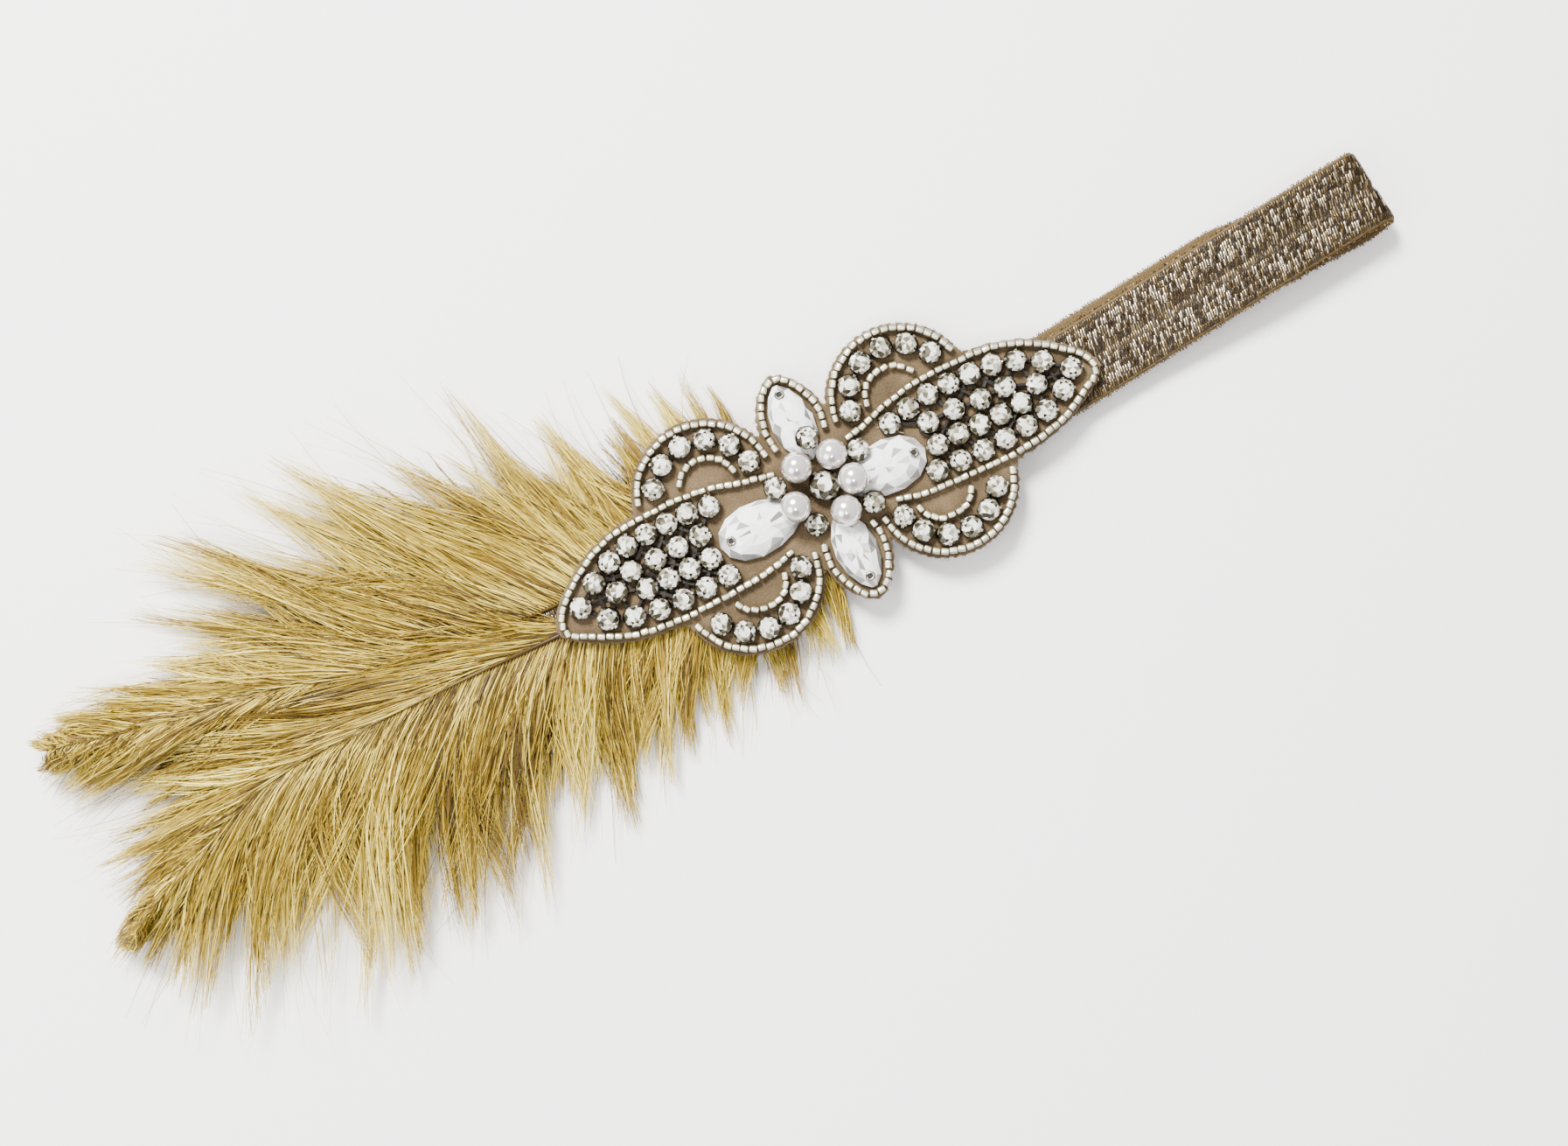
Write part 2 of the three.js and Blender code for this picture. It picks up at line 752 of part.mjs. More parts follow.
function plume(feather) {
  const pieces = [shaft(feather)];
  for (const { way, locks, rows } of feather.sides) {
    const first = rows[0].at;
    const last = rows[rows.length - 1].at;
    for (let i = 0; i < locks; i += 1) {
      const at = first + ((last - first) * i) / (locks - 1);
      const ragged = 1 - 0.1 * Math.abs(Math.sin(2.3 * i));
      const reach = plumeReach * along(rows, at, "reach") * ragged;
      pieces.push(lock(feather, at, way, reach, along(rows, at, "lean")));
    }
  }
  return join(pieces);
}

const colours = {
  elastic: { color: 0xa08a6c, roughness: 0.45, metalness: 0.6 },
  felt: { color: 0xa89c8c, roughness: 0.9, metalness: 0 },
  crystal: { color: 0xe6e4e0, roughness: 0.1, metalness: 0.3 },
  pearl: { color: 0xe9e4e2, roughness: 0.2, metalness: 0.1 },
  seed: { color: 0xcfc6ae, roughness: 0.2, metalness: 0.5 },
  plume: { color: 0xc4ac72, roughness: 0.8, metalness: 0 },
};

const headband = new THREE.Group();

function add(name, geometry, look) {
  const mesh = new THREE.Mesh(geometry, new THREE.MeshStandardMaterial(colours[look]));
  mesh.name = name;
  headband.add(mesh);
}

add("band", band(), "elastic");
add("backing", backing(), "felt");
for (const feather of plumes) add(feather.name, plume(feather), "plume");
for (const [hand, side] of [["right", 1], ["left", -1]]) {
  add(`leaf_stones_${hand}`, leafStones(hand, side), "crystal");
  add(`leaf_beads_${hand}`, beadTube(leafOutline(side)), "seed");
  add(`pear_stone_${hand}`, pear(hand, side), "crystal");
}
for (const [end, way] of [["upper", 1], ["lower", -1]]) {
  add(`petal_beads_${end}`, beadTube(petalOutline(way)), "seed");
  add(`navette_stone_${end}`, navette(way), "crystal");
}
for (const scroll of scrolls) {
  add(`scroll_stones_${scroll.name}`, scrollStones(scroll), "crystal");
  add(`scroll_beads_${scroll.name}`, beadTube(scrollEdge(scroll)), "seed");
  add(`arch_beads_${scroll.name}`, beadTube(scrollArch(scroll)), "seed");
}
add("middle_stone", stone(0, 0, stoneBase, middleStoneDiameter, middleStoneHeight, 10), "crystal");
pearls.forEach((place, i) => add(`pearl_${i + 1}`, pearl(place), "pearl"));
clusterStones.forEach(({ x, y, lift }, i) => {
  const base = stoneBase + lift;
  const piece = stone(x * pearlRing, y * pearlRing, base, stoneDiameter, stoneHeight);
  add(`cluster_stone_${i + 1}`, piece, "crystal");
});

export default headband;
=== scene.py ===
"""Looks of the flapper headband: elastic, felt, plumes, claw-set stones, pearls and seed beads.

Sizes are in millimetres until a mesh is made, where MM turns them into metres. Places come from
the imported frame: the stones' tables, the strings' middle lines and the felt's outline.
"""
import itertools
import math

import bpy
import numpy as np
from mathutils import Matrix, Vector


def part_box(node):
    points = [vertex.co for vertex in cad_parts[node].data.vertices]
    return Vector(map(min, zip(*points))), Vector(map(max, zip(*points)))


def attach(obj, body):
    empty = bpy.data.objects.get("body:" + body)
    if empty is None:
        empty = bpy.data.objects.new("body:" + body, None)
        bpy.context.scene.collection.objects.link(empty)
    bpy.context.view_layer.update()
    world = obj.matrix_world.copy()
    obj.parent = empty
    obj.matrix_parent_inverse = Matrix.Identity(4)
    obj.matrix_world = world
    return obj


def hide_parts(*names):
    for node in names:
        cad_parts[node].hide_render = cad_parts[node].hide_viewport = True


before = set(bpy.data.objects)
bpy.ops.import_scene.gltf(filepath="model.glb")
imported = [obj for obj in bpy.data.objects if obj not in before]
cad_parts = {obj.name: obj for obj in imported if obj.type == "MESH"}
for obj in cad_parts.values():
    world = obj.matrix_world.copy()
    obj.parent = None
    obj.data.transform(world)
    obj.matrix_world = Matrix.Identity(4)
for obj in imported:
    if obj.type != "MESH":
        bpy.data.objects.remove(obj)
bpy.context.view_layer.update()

MM = 0.001
BODY = "root"
UP = np.array([0.0, 0.0, 1.0])

# Photograph and camera.
PHOTO_WIDTH = 1793
LENS = 50.0
SENSOR = 36.0
VIEW_ELEVATION = 86.0
VIEW_TURN = -26.56
PIXELS_PER_MM = 5.71
VIEW_TARGET = (-15.05, -11.93, 6.0)

# Studio: angles in degrees from straight up, towards the photograph's lower edge.
WORLD_STRENGTH = 0.85
SHADE_TILT = 45.0
SHADE_RADIUS = 25.0
SPARK_TILT = 24.0

# The elastic loop.
BAND_WIDTH = 16.0
BAND_THICKNESS = 1.2
BAND_LENGTH = 520.0
BAND_REACH = 127.6
BAND_OFFSET = -4.93
BAND_TURN = 0.0917
BAND_TURN_START = 15.0
LOOSE_GAP = 0.4
SEWN_GAP = 2.3
FREE_FOLD_GAP = 5.6
COVERED_FOLD_GAP = 3.2
LAYER_SHIFT = 1.9
GROOVE_WIDTH = 1.6
GROOVE_DEPTH = 0.35
STITCH_PITCH = 0.52
STITCH_COLUMNS = 10
STITCH_LENGTH = 2.0
STITCH_WIDTH = 0.44
STITCH_SLANT = -17.0
STITCH_RISE = 0.16
PICOT_PITCH = 0.66
PICOT_RADIUS = 0.11
# How finely the loop's course is followed: its lower run, its upper run and each turn.
LOWER_STEPS = 400
UPPER_STEPS = 500
TURN_STEPS = 40
BAND_STEPS = 420

# The applique.
LEAF_REACH = 60.2
BEAD_DIAMETER = 1.5
BEAD_LENGTH = 1.75
STONE_DIAMETER = 4.6
DRILL_DIAMETER = 1.2
GIRDLE_HEIGHT = 0.7
NETTING_RADIUS = 0.5
THREAD_RADIUS = 0.09
PEAR_WIDTH = 10.9
PEAR_SWELL = 0.15

# The plumes.
PLUME_REACH = 161.0
QUILL_HEIGHT = 3.9
BARB_PITCH = 0.36

# The finest relief of yarn and felt, in metres.
BUMP_DEPTH = 0.0002


def rng(seed):
    return np.random.default_rng(seed)


def unit(vectors):
    return vectors / np.maximum(np.linalg.norm(vectors, axis=-1, keepdims=True), 1e-12)


def smoothstep(low, high, value):
    t = np.clip((value - low) / (high - low), 0, 1)
    return t * t * (3 - 2 * t)


# Mesh helpers.
def make_mesh(name, points, faces, materials, smooth=False, tone=None, kinds=None):
    """A mesh object from points in mm and a list of face arrays, each with its own corner count."""
    mesh = bpy.data.meshes.new(name)
    points = np.asarray(points, dtype=np.float32).reshape(-1, 3) * MM
    sizes = np.concatenate([np.full(len(face), face.shape[1]) for face in faces])
    corners = np.concatenate([face.ravel() for face in faces])
    mesh.vertices.add(len(points))
    mesh.vertices.foreach_set("co", points.ravel())
    mesh.loops.add(len(corners))
    mesh.loops.foreach_set("vertex_index", corners.astype(np.int32))
    mesh.polygons.add(len(sizes))
    mesh.polygons.foreach_set("loop_start", (np.cumsum(sizes) - sizes).astype(np.int32))
    mesh.polygons.foreach_set("use_smooth", np.full(len(sizes), smooth))
    if kinds is not None:
        mesh.polygons.foreach_set("material_index", kinds.astype(np.int32))
    mesh.update(calc_edges=True)
    if tone is not None:
        domain = "POINT" if len(tone) == len(points) else "FACE"
        layer = mesh.attributes.new("tone", "FLOAT", domain)
        layer.data.foreach_set("value", tone.astype(np.float32))
    for material in materials:
        mesh.materials.append(material)
    piece = bpy.data.objects.new(name, mesh)
    bpy.context.scene.collection.objects.link(piece)
    return piece


def dress(piece, slot, *nodes):
    """Rides the piece on the body and hides the CAD nodes that it stands for; slot is not used."""
    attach(piece, BODY)
    if nodes:
        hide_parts(*nodes)
    return piece


def merge(shapes):
    """Joins shapes, each (points, list of face arrays), into one."""
    faces = {}
    count = 0
    for points, shape_faces in shapes:
        for face in shape_faces:
            faces.setdefault(face.shape[1], []).append(face + count)
        count += len(points)
    points = np.concatenate([points for points, _ in shapes])
    return points, [np.concatenate(f) for _, f in sorted(faces.items())]


def spun(profile, sides):
    """A turned shape from (radius, height) rows; a radius of zero closes it at the axis."""
    points, rings, quads, tris = [], [], [], []
    for radius, height in profile:
        around = sides if radius else 1
        rings.append(np.arange(around) + len(points))
        for i in range(around):
            turn = 2 * math.pi * i / sides
            points.append((radius * math.cos(turn), radius * math.sin(turn), height))
    for a, b in zip(rings, rings[1:]):
        for i in range(sides):
            j = (i + 1) % sides
            if len(a) == 1:
                tris.append((a[0], b[j], b[i]))
            elif len(b) == 1:
                tris.append((a[i], a[j], b[0]))
            else:
                quads.append((a[i], a[j], b[j], b[i]))
    return np.array(points), [np.array(f) for f in (quads, tris) if f]


def wall_quads(rows, columns, closed=False):
    """Quads between rings of points, one ring a row; closed joins the last ring to the first."""
    low = np.arange(rows if closed else rows - 1)[:, None] * columns
    high = (low + columns) % (rows * columns)
    here = np.arange(columns)
    after = (here + 1) % columns
    return np.stack([low + here, low + after, high + after, high + here], axis=-1).reshape(-1, 4)


def copies(shape, frames, origins):
    """Joins copies of a shape, one for each 3x3 frame (columns are its axes) and origin."""
    points, faces = shape
    placed = np.einsum("nij,pj->npi", frames, points) + origins[:, None, :]
    steps = np.arange(len(origins))[:, None, None] * len(points)
    joined = [(face[None] + steps).reshape(-1, face.shape[1]) for face in faces]
    return placed.reshape(-1, 3), joined


def turned(angle, tilt=(0.0, 0.0)):
    """A frame turned about Z and tipped a little about X and Y."""
    c, s = math.cos(angle), math.sin(angle)
    spin = np.array([[c, -s, 0], [s, c, 0], [0, 0, 1]])
    a, b = tilt
    tip_x = np.array([[1, 0, 0], [0, math.cos(a), -math.sin(a)], [0, math.sin(a), math.cos(a)]])
    tip_y = np.array([[math.cos(b), 0, math.sin(b)], [0, 1, 0], [-math.sin(b), 0, math.cos(b)]])
    return tip_x @ tip_y @ spin


def tubes(paths, radii, sides=3, seed=1):
    """Thin tubes along many paths of equal length; radii has one value a point. Tips close."""
    count, steps, _ = paths.shape
    along = unit(np.gradient(paths, axis=1))
    side = unit(np.cross(along, UP))
    over = np.cross(side, along)
    phase = rng(seed).uniform(0, 2 * math.pi, count)[:, None, None]
    rings = []
    for k in range(sides):
        turn = phase + 2 * math.pi * k / sides
        rings.append(paths + (np.cos(turn) * side + np.sin(turn) * over) * radii[..., None])
    points = np.stack(rings, axis=2).reshape(-1, 3)
    first = np.arange(count)[:, None] * steps * sides
    last = first + (steps - 1) * sides
    quads = (wall_quads(steps, sides)[None] + first[..., None]).reshape(-1, 4)
    corner = np.arange(sides)
    return points, [quads, np.concatenate([first + corner[::-1], last + corner])]


# Materials.
def new_material(name):
    material = bpy.data.materials.new(name)
    material.use_nodes = True
    nodes = material.node_tree.nodes
    return material, nodes, material.node_tree.links, nodes["Principled BSDF"]


def set_inputs(node, values):
    for name, value in values.items():
        node.inputs[name].default_value = value


def ramp(nodes, links, value, stops):
    """The colour that a value has between stops of (place, colour)."""
    node = nodes.new("ShaderNodeValToRGB")
    elements = node.color_ramp.elements
    while len(elements) < len(stops):
        elements.new(0.5)
    for element, (place, colour) in zip(elements, stops):
        element.position = place
        element.color = (*colour, 1)
    links.new(value, node.inputs["Fac"])
    return node.outputs["Color"]


def own_tone(nodes):
    node = nodes.new("ShaderNodeAttribute")
    node.attribute_name = "tone"
    return node.outputs["Fac"]


def noise(nodes, links, scale, detail, roughness=0.5):
    node = nodes.new("ShaderNodeTexNoise")
    set_inputs(node, {"Scale": scale, "Detail": detail, "Roughness": roughness})
    links.new(nodes.new("ShaderNodeTexCoord").outputs["Object"], node.inputs["Vector"])
    return node.outputs["Fac"]


def add_bump(nodes, links, shader, height):
    bump = nodes.new("ShaderNodeBump")
    set_inputs(bump, {"Distance": BUMP_DEPTH, "Strength": 1.0})
    links.new(height, bump.inputs["Height"])
    links.new(bump.outputs["Normal"], shader.inputs["Normal"])


def yarn_material(name, dark, light, metallic, roughness):
    """Fine yarn, speckled between two colours."""
    material, nodes, links, shader = new_material(name)
    speckle = noise(nodes, links, 2600, 4)
    colour = ramp(nodes, links, speckle, [(0.3, dark), (0.7, light)])
    links.new(colour, shader.inputs["Base Color"])
    set_inputs(shader, {"Metallic": metallic, "Roughness": roughness})
    add_bump(nodes, links, shader, speckle)
    return material


def felt_material():
    """Felt, with its fibres' fine speckle and broad clouds in equal shares."""
    material, nodes, links, shader = new_material("taupe_felt")
    fine = noise(nodes, links, 3200, 5, 0.65)
    mix = nodes.new("ShaderNodeMix")
    set_inputs(mix, {"Factor": 0.5})
    links.new(noise(nodes, links, 140, 3), mix.inputs["A"])
    links.new(fine, mix.inputs["B"])
    links.new(ramp(nodes, links, mix.outputs["Result"], FELT_STOPS), shader.inputs["Base Color"])
    set_inputs(shader, {"Roughness": 0.85, "Sheen Weight": 0.25})
    add_bump(nodes, links, shader, fine)
    return material


def pearl_material():
    material, _, _, shader = new_material("pearl_lustre")
    set_inputs(shader, {
        "Base Color": (0.80, 0.755, 0.725, 1), "Metallic": 0.7, "Roughness": 0.2,
        "Coat Weight": 1.0, "Coat Roughness": 0.05,
    })
    return material


def toned_material(name, stops, roughness, metallic=0.0, coat=0.0, sheen=0.0):
    """A material whose colour follows each facet's or strand's own tone."""
    material, nodes, links, shader = new_material(name)
    links.new(ramp(nodes, links, own_tone(nodes), stops), shader.inputs["Base Color"])
    set_inputs(shader, {
        "Metallic": metallic, "Roughness": roughness, "Coat Weight": coat,
        "Coat Roughness": 0.02, "Sheen Weight": sheen,
    })
    return material


def bead_material():
    """Lined glass beads: the colour runs from a painted highlight in the middle to painted shade at
    the rim, scaled by a bead's tone.
    """
    material, nodes, links, shader = new_material("seed_bead")
    # The view's facing paints the highlight and the shade into the base colour.
    weight = nodes.new("ShaderNodeLayerWeight")
    set_inputs(weight, {"Blend": 0.5})
    scaled = nodes.new("ShaderNodeVectorMath")
    scaled.operation = "SCALE"
    links.new(ramp(nodes, links, weight.outputs["Facing"], BEAD_HIGHLIGHT_SHADE_STOPS), scaled.inputs[0])
    links.new(own_tone(nodes), scaled.inputs["Scale"])
    links.new(scaled.outputs["Vector"], shader.inputs["Base Color"])
    set_inputs(shader, {
        "Metallic": 0.25, "Roughness": 0.16, "Coat Weight": 1.0, "Coat Roughness": 0.04,
    })
    return material


# Colours by tone, as (place, colour) stops.
STITCH_STOPS = [
    (0.0, (0.006, 0.004, 0.002)),
    (0.25, (0.050, 0.032, 0.014)),
    (0.5, (0.21, 0.145, 0.060)),
    (0.72, (0.52, 0.44, 0.30)),
    (1.0, (1.0, 0.98, 0.92)),
]
FELT_STOPS = [
    (0.3, (0.055, 0.036, 0.018)),
    (0.5, (0.135, 0.093, 0.048)),
    (0.72, (0.25, 0.185, 0.11)),
]
# Round stones' facets: painted reflections, from black to white.
CHATON_REFLECTION_STOPS = [
    (0.0, (0.008, 0.006, 0.004)),
    (0.25, (0.085, 0.075, 0.048)),
    (0.5, (0.33, 0.31, 0.23)),
    (0.75, (0.78, 0.765, 0.68)),
    (1.0, (1.0, 1.0, 0.98)),
]
# Sewn crystals' facets: painted reflections and shade, from dark grey to white.
CRYSTAL_REFLECTION_STOPS = [
    (0.0, (0.04, 0.036, 0.03)),
    (0.5, (0.42, 0.41, 0.395)),
    (1.0, (1.0, 1.0, 1.0)),
]
CUP_SHADE_AND_SILVER_STOPS = [
    (0.0, (0.02, 0.016, 0.011)),
    (0.5, (0.22, 0.19, 0.145)),
    (1.0, (0.85, 0.82, 0.75)),
]
# Seed beads by facing: a painted highlight in the middle, painted shade towards the rim.
BEAD_HIGHLIGHT_SHADE_STOPS = [
    (0.0, (0.98, 0.97, 0.88)),
    (0.09, (0.92, 0.90, 0.76)),
    (0.2, (0.50, 0.46, 0.31)),
    (0.45, (0.22, 0.19, 0.105)),
    (0.8, (0.15, 0.13, 0.075)),
    (1.0, (0.40, 0.38, 0.29)),
]
SHAFT_STOPS = [
    (0.0, (0.050, 0.024, 0.006)),
    (1.0, (0.34, 0.235, 0.055)),
]
PLUME_STOPS = [
    (0.0, (0.034, 0.016, 0.001)),
    (0.3, (0.185, 0.108, 0.007)),
    (0.6, (0.44, 0.312, 0.040)),
    (1.0, (0.82, 0.70, 0.22)),
]


# The elastic loop.
FREE_RADIUS = (FREE_FOLD_GAP + BAND_THICKNESS) / 2
COVERED_RADIUS = (COVERED_FOLD_GAP + BAND_THICKNESS) / 2
RUN_END = BAND_REACH - FREE_RADIUS - BAND_THICKNESS / 2
RUN_LENGTH = (BAND_LENGTH - math.pi * (FREE_RADIUS + COVERED_RADIUS)) / 2
RUN_START = RUN_END - RUN_LENGTH
# The gap between the loop's two layers, by place along it.
GAPS = (
    (RUN_START, COVERED_FOLD_GAP), (RUN_START + 0.16 * RUN_LENGTH, LOOSE_GAP),
    (0.1 * LEAF_REACH, LOOSE_GAP), (0.22 * LEAF_REACH, SEWN_GAP), (1.04 * LEAF_REACH, SEWN_GAP),
    (0.83 * BAND_REACH, FREE_FOLD_GAP), (RUN_END, FREE_FOLD_GAP),
)


def eased(at, places, values):
    """Eases between rows, level at each row."""
    places, values = np.array(places), np.array(values)
    i = np.clip(np.searchsorted(places, at) - 1, 0, len(places) - 2)
    t = np.clip((at - places[i]) / (places[i + 1] - places[i]), 0, 1)
    return values[i] + (values[i + 1] - values[i]) * t * t * (3 - 2 * t)


def layer_gap(x):
    return eased(x, *zip(*GAPS))


def layer_shift(x):
    places = (0.8 * RUN_START, 0.3 * LEAF_REACH, 0.73 * BAND_REACH, 0.83 * BAND_REACH, RUN_END)
    return eased(x, places, (0, LAYER_SHIFT, LAYER_SHIFT, 0, -0.5 * LAYER_SHIFT))


def plan_height(x):
    run = x - BAND_TURN_START
    return BAND_OFFSET + BAND_TURN * (np.hypot(run, BAND_TURN_START) + run) / 2


def loop_course():
    """The loop's middle surface as columns: length round it, x, z, outward normal and shift."""
    half = BAND_THICKNESS / 2
    lower = np.linspace(RUN_START, RUN_END, LOWER_STEPS)
    turn = np.linspace(0, math.pi, TURN_STEPS)
    upper = np.linspace(RUN_END, RUN_START, UPPER_STEPS)
    across, up = np.sin(turn), 1 - np.cos(turn)
    spans = [
        (lower, half + 0 * lower, layer_shift(lower)),
        (RUN_END + FREE_RADIUS * across, half + FREE_RADIUS * up,
         layer_shift(RUN_END) * (1 - turn / math.pi)),
        (upper, half + BAND_THICKNESS + layer_gap(upper), 0 * upper),
        (RUN_START - COVERED_RADIUS * across, half + COVERED_RADIUS * (2 - up), 0 * turn),
    ]
    x, z, shift = (np.concatenate(column) for column in zip(*spans))
    run = np.concatenate([[0], np.cumsum(np.hypot(np.diff(x), np.diff(z)))])
    keep = np.concatenate([[True], np.diff(run) > 1e-6])
    run, x, z, shift = run[keep], x[keep], z[keep], shift[keep]
    dx, dz = np.gradient(x, run), np.gradient(z, run)
    length = np.hypot(dx, dz)
    return {"run": run, "x": x, "z": z, "shift": shift, "nx": dz / length, "nz": -dx / length}


COURSE = loop_course()
LOOP_LENGTH = COURSE["run"][-1]


def on_loop(run, across, out):
    """Points on the loop: length round it, place across it and height off its middle surface."""
    run = np.mod(run, LOOP_LENGTH)
    x, z, shift, nx, nz = (
        np.interp(run, COURSE["run"], COURSE[key]) for key in ("x", "z", "shift", "nx", "nz")
    )
    size = np.hypot(nx, nz)
    along = x + nx / size * out
    angle = np.arctan(plan_height(along + 0.5) - plan_height(along - 0.5))
    sideways = across + shift
    return np.stack([
        along - np.sin(angle) * sideways,
        plan_height(along) + np.cos(angle) * sideways,
        z + nz / size * out,
    ], axis=-1)


def groove_dip(across):
    """How deep the long groove down the middle of the outer face is."""
    return GROOVE_DEPTH * np.exp(-((across / (0.5 * GROOVE_WIDTH)) ** 2))


def make_band():
    """The elastic's ground: a grooved metallic outer face, and gold edges and inner face."""
    half = BAND_THICKNESS / 2
    side = BAND_WIDTH / 2
    rim, edge, slope = side - 0.12, side - 0.5, 0.8 * half
    face = np.linspace(1.5 - side, side - 1.5, 13)
    section = np.array([
        (-side, 0), (-rim, slope), (-edge, half), *zip(face, half - groove_dip(face)),
        (edge, half), (rim, slope), (side, 0),
        (rim, -slope), (edge, -half), (0, -half), (-edge, -half), (-rim, -slope),
    ])
    across, out = section[:, 0], 0.97 * section[:, 1]
    run = np.linspace(0, LOOP_LENGTH, BAND_STEPS, endpoint=False)[:, None]
    wave = 0.05 * np.sin(run * 2 * math.pi / 3.1) * ((np.abs(across) < side - 0.4) & (out > 0))
    points = on_loop(run, across, out + wave)
    place = np.arange(len(section))
    is_gold = (place >= len(face) + 3) | (place < 2)
    metal = yarn_material("band_ground", (0.008, 0.005, 0.002), (0.035, 0.022, 0.010), 0.2, 0.5)
    gold = yarn_material("band_inner", (0.075, 0.045, 0.014), (0.17, 0.11, 0.038), 0.1, 0.65)
    faces = [wall_quads(BAND_STEPS, len(section), closed=True)]
    kinds = np.tile(is_gold.astype(int), BAND_STEPS)
    return dress(
        make_mesh("elastic_band", points, faces, [metal, gold], True, None, kinds),
        "elastic", "band",
    )


def stitch_shape():
    """One stitch, long across the band: a hexagon at its foot and a ridge along its top."""
    foot = [(-0.5, 0), (-0.3, -0.5), (0.3, -0.5), (0.5, 0), (0.3, 0.5), (-0.3, 0.5)]
    points = [(a, b, 0) for a, b in foot] + [(-0.34, 0, 1), (0.34, 0, 1)]
    tris = [(0, 1, 6), (1, 2, 6), (2, 7, 6), (2, 3, 7), (3, 4, 7), (4, 5, 7), (5, 6, 7), (5, 0, 6)]
    return np.array(points, dtype=float), np.array(tris)


def stitch_tones(random, across, corners):
    """Bright, gold and dark stitches; the ridge is brighter than the foot, as painted highlight and
    painted shade; the groove is gold.
    """
    count = len(across)
    roll = random.random(count)
    tone = random.uniform(0.46, 0.68, count)
    tone = np.where(roll < 0.42, random.uniform(0.16, 0.38, count), tone)
    tone = np.where(roll > 0.6, random.uniform(0.86, 1.0, count), tone)
    groove = np.exp(-((across / (0.6 * GROOVE_WIDTH)) ** 2))
    edges = smoothstep(BAND_WIDTH / 2 - 1.6, BAND_WIDTH / 2 - 0.9, np.abs(across))
    tone = tone + (0.44 - tone) * 0.75 * np.maximum(groove, edges)
    tones = tone[:, None] * random.uniform(0.85, 1.1, (count, corners))
    # The foot is darkened as painted shade, leaving a painted highlight along the ridge.
    tones[:, :6] *= 0.28
    return np.clip(tones, 0, 1)


def make_stitches():
    """Slanted metallic stitches, in rows and columns all over the loop's outer face."""
    random = rng(11)
    margin = 0.35
    pitch = (BAND_WIDTH - 2 * margin) / STITCH_COLUMNS
    count = int(LOOP_LENGTH / STITCH_PITCH) * STITCH_COLUMNS
    row, column = np.divmod(np.arange(count), STITCH_COLUMNS)
    run = (row + 0.5 * (column % 2)) * STITCH_PITCH + random.normal(0, 0.035, count)
    across = margin - BAND_WIDTH / 2 + (column + 0.5) * pitch + random.uniform(-0.35, 0.35, count)
    length = STITCH_LENGTH * random.uniform(0.75, 1.15, count)
    slant = (math.radians(STITCH_SLANT) + random.normal(0, 0.05, count))[:, None]
    shape, tris = stitch_shape()
    local_across = shape[:, 0] * length[:, None]
    local_run = shape[:, 1] * STITCH_WIDTH
    turn_run = local_run * np.cos(slant) + local_across * np.sin(slant)
    turn_across = local_across * np.cos(slant) - local_run * np.sin(slant)
    side = BAND_WIDTH / 2 - 0.1
    place = np.clip(across[:, None] + turn_across, -side, side)
    edge = 0.4 * BAND_THICKNESS / 2 * smoothstep(side - 0.45, side, np.abs(place))
    foot = BAND_THICKNESS / 2 - 0.06 - groove_dip(place) - edge
    points = on_loop(run[:, None] + turn_run, place, foot + shape[:, 2] * STITCH_RISE)
    faces = [(tris + np.arange(count)[:, None, None] * len(shape)).reshape(-1, 3)]
    tone = stitch_tones(random, across, len(shape)).ravel()
    return dress(make_mesh("elastic_stitches", points, faces, [STITCH], True, tone), "elastic")


def make_picots():
    """Small loops of yarn standing out of both edges of the elastic."""
    random = rng(12)
    rows = int(LOOP_LENGTH / PICOT_PITCH)
    run = np.tile(np.arange(rows) * PICOT_PITCH, 2) + random.normal(0, 0.06, 2 * rows)
    hand = np.repeat([1, -1], rows)
    reach = random.uniform(0.3, 0.75, 2 * rows)
    width = random.uniform(0.14, 0.26, 2 * rows)
    lift = random.normal(0.0, 0.15, 2 * rows)
    turn = np.linspace(-0.15, math.pi + 0.15, 5)
    side = BAND_WIDTH / 2 - 0.15
    across = hand[:, None] * (side + reach[:, None] * np.sin(turn))
    paths = on_loop(run[:, None] + width[:, None] * np.cos(turn), across, lift[:, None])
    points, faces = tubes(paths, np.full(paths.shape[:2], PICOT_RADIUS), 3, 13)
    tone = np.repeat(random.uniform(0.22, 0.62, 2 * rows), paths.shape[1] * 3)
    return dress(make_mesh("elastic_picots", points, faces, [STITCH], True, tone), "elastic")


# Reading the frame.
def node_points(node):
    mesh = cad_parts[node].data
    points = np.zeros(len(mesh.vertices) * 3, dtype=np.float32)
    mesh.vertices.foreach_get("co", points)
    return points.reshape(-1, 3).astype(float) / MM


def box_mm(node):
    """The low and high corners of a CAD node's box, in mm."""
    low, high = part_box(node)
    return np.array(low) / MM, np.array(high) / MM


def gathered(points, reach):
    """Groups points that lie within reach of a group's middle, and returns the middles."""
    groups = []
    for point in points:
        for group in groups:
            if np.linalg.norm(np.mean(group, axis=0) - point) < reach:
                group.append(point)
                break
        else:
            groups.append([point])
    return np.array([(np.min(g, axis=0) + np.max(g, axis=0)) / 2 for g in groups])


def stone_tables(node):
    """The middle of each stone's flat table in a node."""
    points = node_points(node)
    top = points[points[:, 2] > points[:, 2].max() - 0.05]
    return gathered(np.unique(np.round(top, 3), axis=0), 0.45 * STONE_DIAMETER)


def chained(middles, start):
    """The middles in order from a start, each the nearest one left, and the length in all."""
    left = list(range(len(middles)))
    order = [left.pop(start)]
    length = 0.0
    while left:
        away = [np.linalg.norm(middles[i] - middles[order[-1]]) for i in left]
        length += min(away)
        order.append(left.pop(int(np.argmin(away))))
    return length, middles[order]


def string_line(node):
    """The middle line of a bead string's tube, in order from one end to the other."""
    points = np.unique(np.round(node_points(node), 3), axis=0)
    middles = gathered(points, 0.95 * BEAD_DIAMETER)
    spread = [max(np.linalg.norm(a - b) for b in middles) for a in middles]
    ends = sorted(range(len(middles)), key=lambda i: -spread[i])
    return min((chained(middles, end) for end in ends[:4]), key=lambda chain: chain[0])[1]


